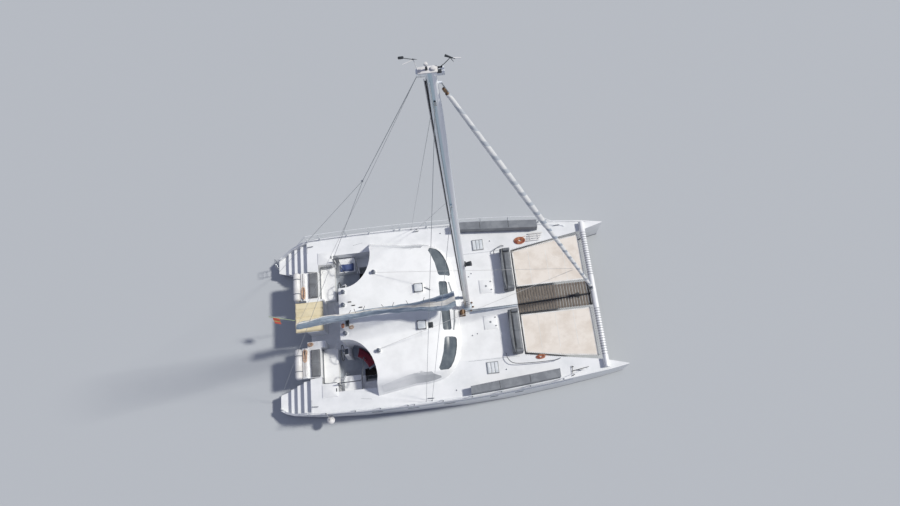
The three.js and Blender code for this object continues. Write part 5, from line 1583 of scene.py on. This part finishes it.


# Deck gear
# A white boarding ladder and small fittings on the foredeck, pad eyes by the mast, white frames by the
# cockpit sole, an alloy track on the chain channel with painted shade beside it, and thin deck seams.
LADDER_BARS = ((4.42, 5.06), (4.45, 5.12), (4.48, 5.18), (4.52, 5.24))  # from x, to x
EYE_PLACES = (
    (1.36, 1.47), (1.50, 1.62), (1.22, -1.44), (1.46, -1.38), (0.2, 3.9), (0.2, -3.9),
    (2.6, 3.2), (2.6, -3.2),
)
EYE_PLATE = ((0.0, 0.0), (0.0, 0.032), (0.008, 0.03), (0.01, 0.0))
EYE_BOW = ((-0.02, 0.0), (-0.02, 0.03), (0.0, 0.045), (0.02, 0.03), (0.02, 0.0))  # x, height
KEDGE = (  # from x, y, to x, y, radii
    (5.6, -3.62, 6.38, -3.5, 0.016, 0.012), (5.62, -3.38, 5.58, -3.86, 0.014, 0.01),
    (5.68, -3.44, 5.58, -3.4, 0.02, 0.008), (5.68, -3.78, 5.58, -3.84, 0.02, 0.008),
)
KEDGE_Z = 1.785
SOLE_RAILS = ((-5.33, 0.97, -5.33, 0.51), (-5.26, -0.98, -5.36, -1.28))
DECK_SEAMS = (
    ((-6.52, 3.62), (-6.52, 4.05)), ((-4.22, 3.79), (-3.72, 3.87)), ((0.9, 2.65), (3.3, 2.65)),
)

bars = [
    slab((x0, 2.95 + i * 0.115, 1.7665), (x1, 3.005 + i * 0.115, 1.785), 0.006, 0.003)
    for i, (x0, x1) in enumerate(LADDER_BARS)
]
bars += [slab((x, 2.96, 1.7485), (x + 0.05, 3.34, 1.7665), 0.006, 0.003) for x in (4.6, 4.99)]
piece("slatted_board", gather(*bars), white_plastic)
eyes = []
for x, y in EYE_PLACES:
    spot = on_top(decks, x, y)
    eyes.append(turned(EYE_PLATE, spot, UP, 20))
    eyes.append(tube([spot + Vector((dx, 0, dz)) for dx, dz in EYE_BOW], 0.006, 8, 4))
piece("pad_eyes", gather(*eyes), steel)
# painted shade: a matt blue-grey strip beside the chain channel stands for the shade down its recessed
# side
channel_painted_shade = drifting("blue-grey rubber strip", ("#9CA4B1", "#858E9E"), 0.3, 0.8)[0]
track = gather(
    slab((1.13, -0.262, 1.7715), (3.5, -0.178, 1.776), 0, 0.001),
    slab((1.13, -0.279, 1.7215), (3.5, -0.271, 1.7765), 0, 0.001),
)
piece("channel_track", track, alloy)
channel_shade = ribbon([(1.2, -0.345), (1.9, -0.325), (3.48, -0.225)], 0.11, 0.0015, decks)
piece("channel_scuff_strip", channel_shade, channel_painted_shade)
stock = [rod((x0, y0, KEDGE_Z), (x1, y1, KEDGE_Z), *radii) for x0, y0, x1, y1, *radii in KEDGE]
piece("kedge_anchor", gather(*stock), black_paint)
sole_rails = [
    tube([(x0, y0, 1.3), (x0, y0, 1.6), (x1, y1, 1.6), (x1, y1, 1.3)], 0.014, 10, 4)
    for x0, y0, x1, y1 in SOLE_RAILS
]
piece("sole_rails", gather(*sole_rails), white_plastic)
seams = [ribbon(path, 0.012, 0.0015, decks, sign) for _, sign in SIDES for path in DECK_SEAMS]
piece("deck_seams", gather(*seams), grey_plastic)


# Mooring ropes
# Braided tan ropes coiled down by hand on the decks, each led from a cleat.
ROPE_DIAMETER, ROPE_TURN_STEPS, LEAD_STEPS = 0.018, 36, 16
ROPE_PITCH, ROPE_LAYER = ROPE_DIAMETER * 1.12, ROPE_DIAMETER * 1.08

# tan braided polyester: matt, two strands winding round each other
tan_rope = laid_rope("tan braided rope", ("#E2C8AE", "#BE9880"), 0.06, 40.0, 0.5, 0.003, 0.85)
# red-orange braided line of the foredeck coils: matt
red_rope = drifting("red braided rope", ("#D0946F", "#A4564A"), 0.12, 0.85)[0]


def coil(name, centre, cleat_at, material, inner, outer, layers, seed, stretch, straight, tilt):
    """A rope coiled down in flat layers, led from a cleat, as one free cord."""
    points = []
    per_layer = (outer - inner) / ROPE_PITCH
    for i in range(int(per_layer * layers * ROPE_TURN_STEPS) + 1):
        whole = i / ROPE_TURN_STEPS
        layer, within = int(whole // per_layer), whole % per_layer
        out = inner + within * ROPE_PITCH if layer % 2 else outer - within * ROPE_PITCH
        climb = layer - 1 + min(1.0, within * 1.2) if layer else 0
        z = centre[2] + ROPE_DIAMETER * 0.55 + climb * ROPE_LAYER
        wobble = 0.0015 * math.sin(whole * 2.3 + seed)
        angle = math.tau * whole + 0.4 * seed
        x = (out * stretch + wobble) * math.cos(angle)
        y = (out + wobble) * math.sin(angle) + straight * math.tanh(2.5 * math.sin(angle))
        points.append(Vector((centre[0] + x, centre[1] + y, z + tilt * x)))
    start, first = Vector(cleat_at), points[0]
    control = first + (first - points[1]).normalized() * (start - first).length * 0.45
    lead = []
    for i in range(LEAD_STEPS):
        t = i / LEAD_STEPS
        lead.append(start * (1 - t) ** 2 + control * 2 * t * (1 - t) + first * t**2)
    points = lead + points
    curve = bpy.data.curves.new(name, "CURVE")
    curve.dimensions, curve.use_fill_caps = "3D", True
    curve.bevel_depth, curve.bevel_resolution = ROPE_DIAMETER / 2, 2
    line = curve.splines.new("POLY")
    line.points.add(len(points) - 1)
    for point, place in zip(line.points, points):
        point.co = (*place, 1)
    curve.materials.append(material)
    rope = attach(in_scene(name, curve), "root")


for name, material, centre, cleat_at, *form in (  # inner, outer, layers, seed, stretch, straight, tilt
    ("mooring_rope_port", tan_rope, (-6.745, 1.56, 1.8005), (-6.80, 1.22, 1.815),
     0.035, 0.095, 5, -3, 1.0, 0.22, 0),
    ("mooring_rope_starboard", tan_rope, (-6.745, -1.56, 1.8005), (-6.65, -1.50, 1.815),
     0.035, 0.095, 5, 3, 1.0, 0.22, 0),
    ("spare_rope_starboard", tan_rope, (-6.50, -1.01, 1.7205), (-6.40, -0.93, 1.735),
     0.03, 0.1, 4, 2, 1.4, 0, 0),
    ("foredeck_line_port", red_rope, (4.08, 3.04, 1.7205), (4.4, 3.26, 1.735),
     0.045, 0.19, 3, 3, 1.5, 0, 0),
    ("foredeck_line_starboard", red_rope, (4.26, -2.8, 1.7205), (4.62, -2.78, 1.735),
     0.03, 0.1, 3, 4, 2.2, 0, 0),
    ("halyard_tail_outer", tan_rope, (-4.27, -0.70, 2.943), (-4.17, -0.62, 2.945),
     0.035, 0.08, 3, 5, 1.4, 0, -0.092),
    ("halyard_tail_inner", red_rope, (-4.66, -0.60, 2.985), (-4.57, -0.55, 2.99),
     0.025, 0.065, 3, 1, 1.0, 0.04, -0.092),
):
    coil(name, centre, cleat_at, material, *form)


# Finish
# Every node that is still bare gets gelcoat, and the bounds of the whole are taken beside the CAD's.
for name, node in frame["nodes"].items():
    if not node.data.materials:
        node.data.materials.append(gelcoat)

bounds_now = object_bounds()
rows = {"cad": cad_box, "visual": bounds_now}
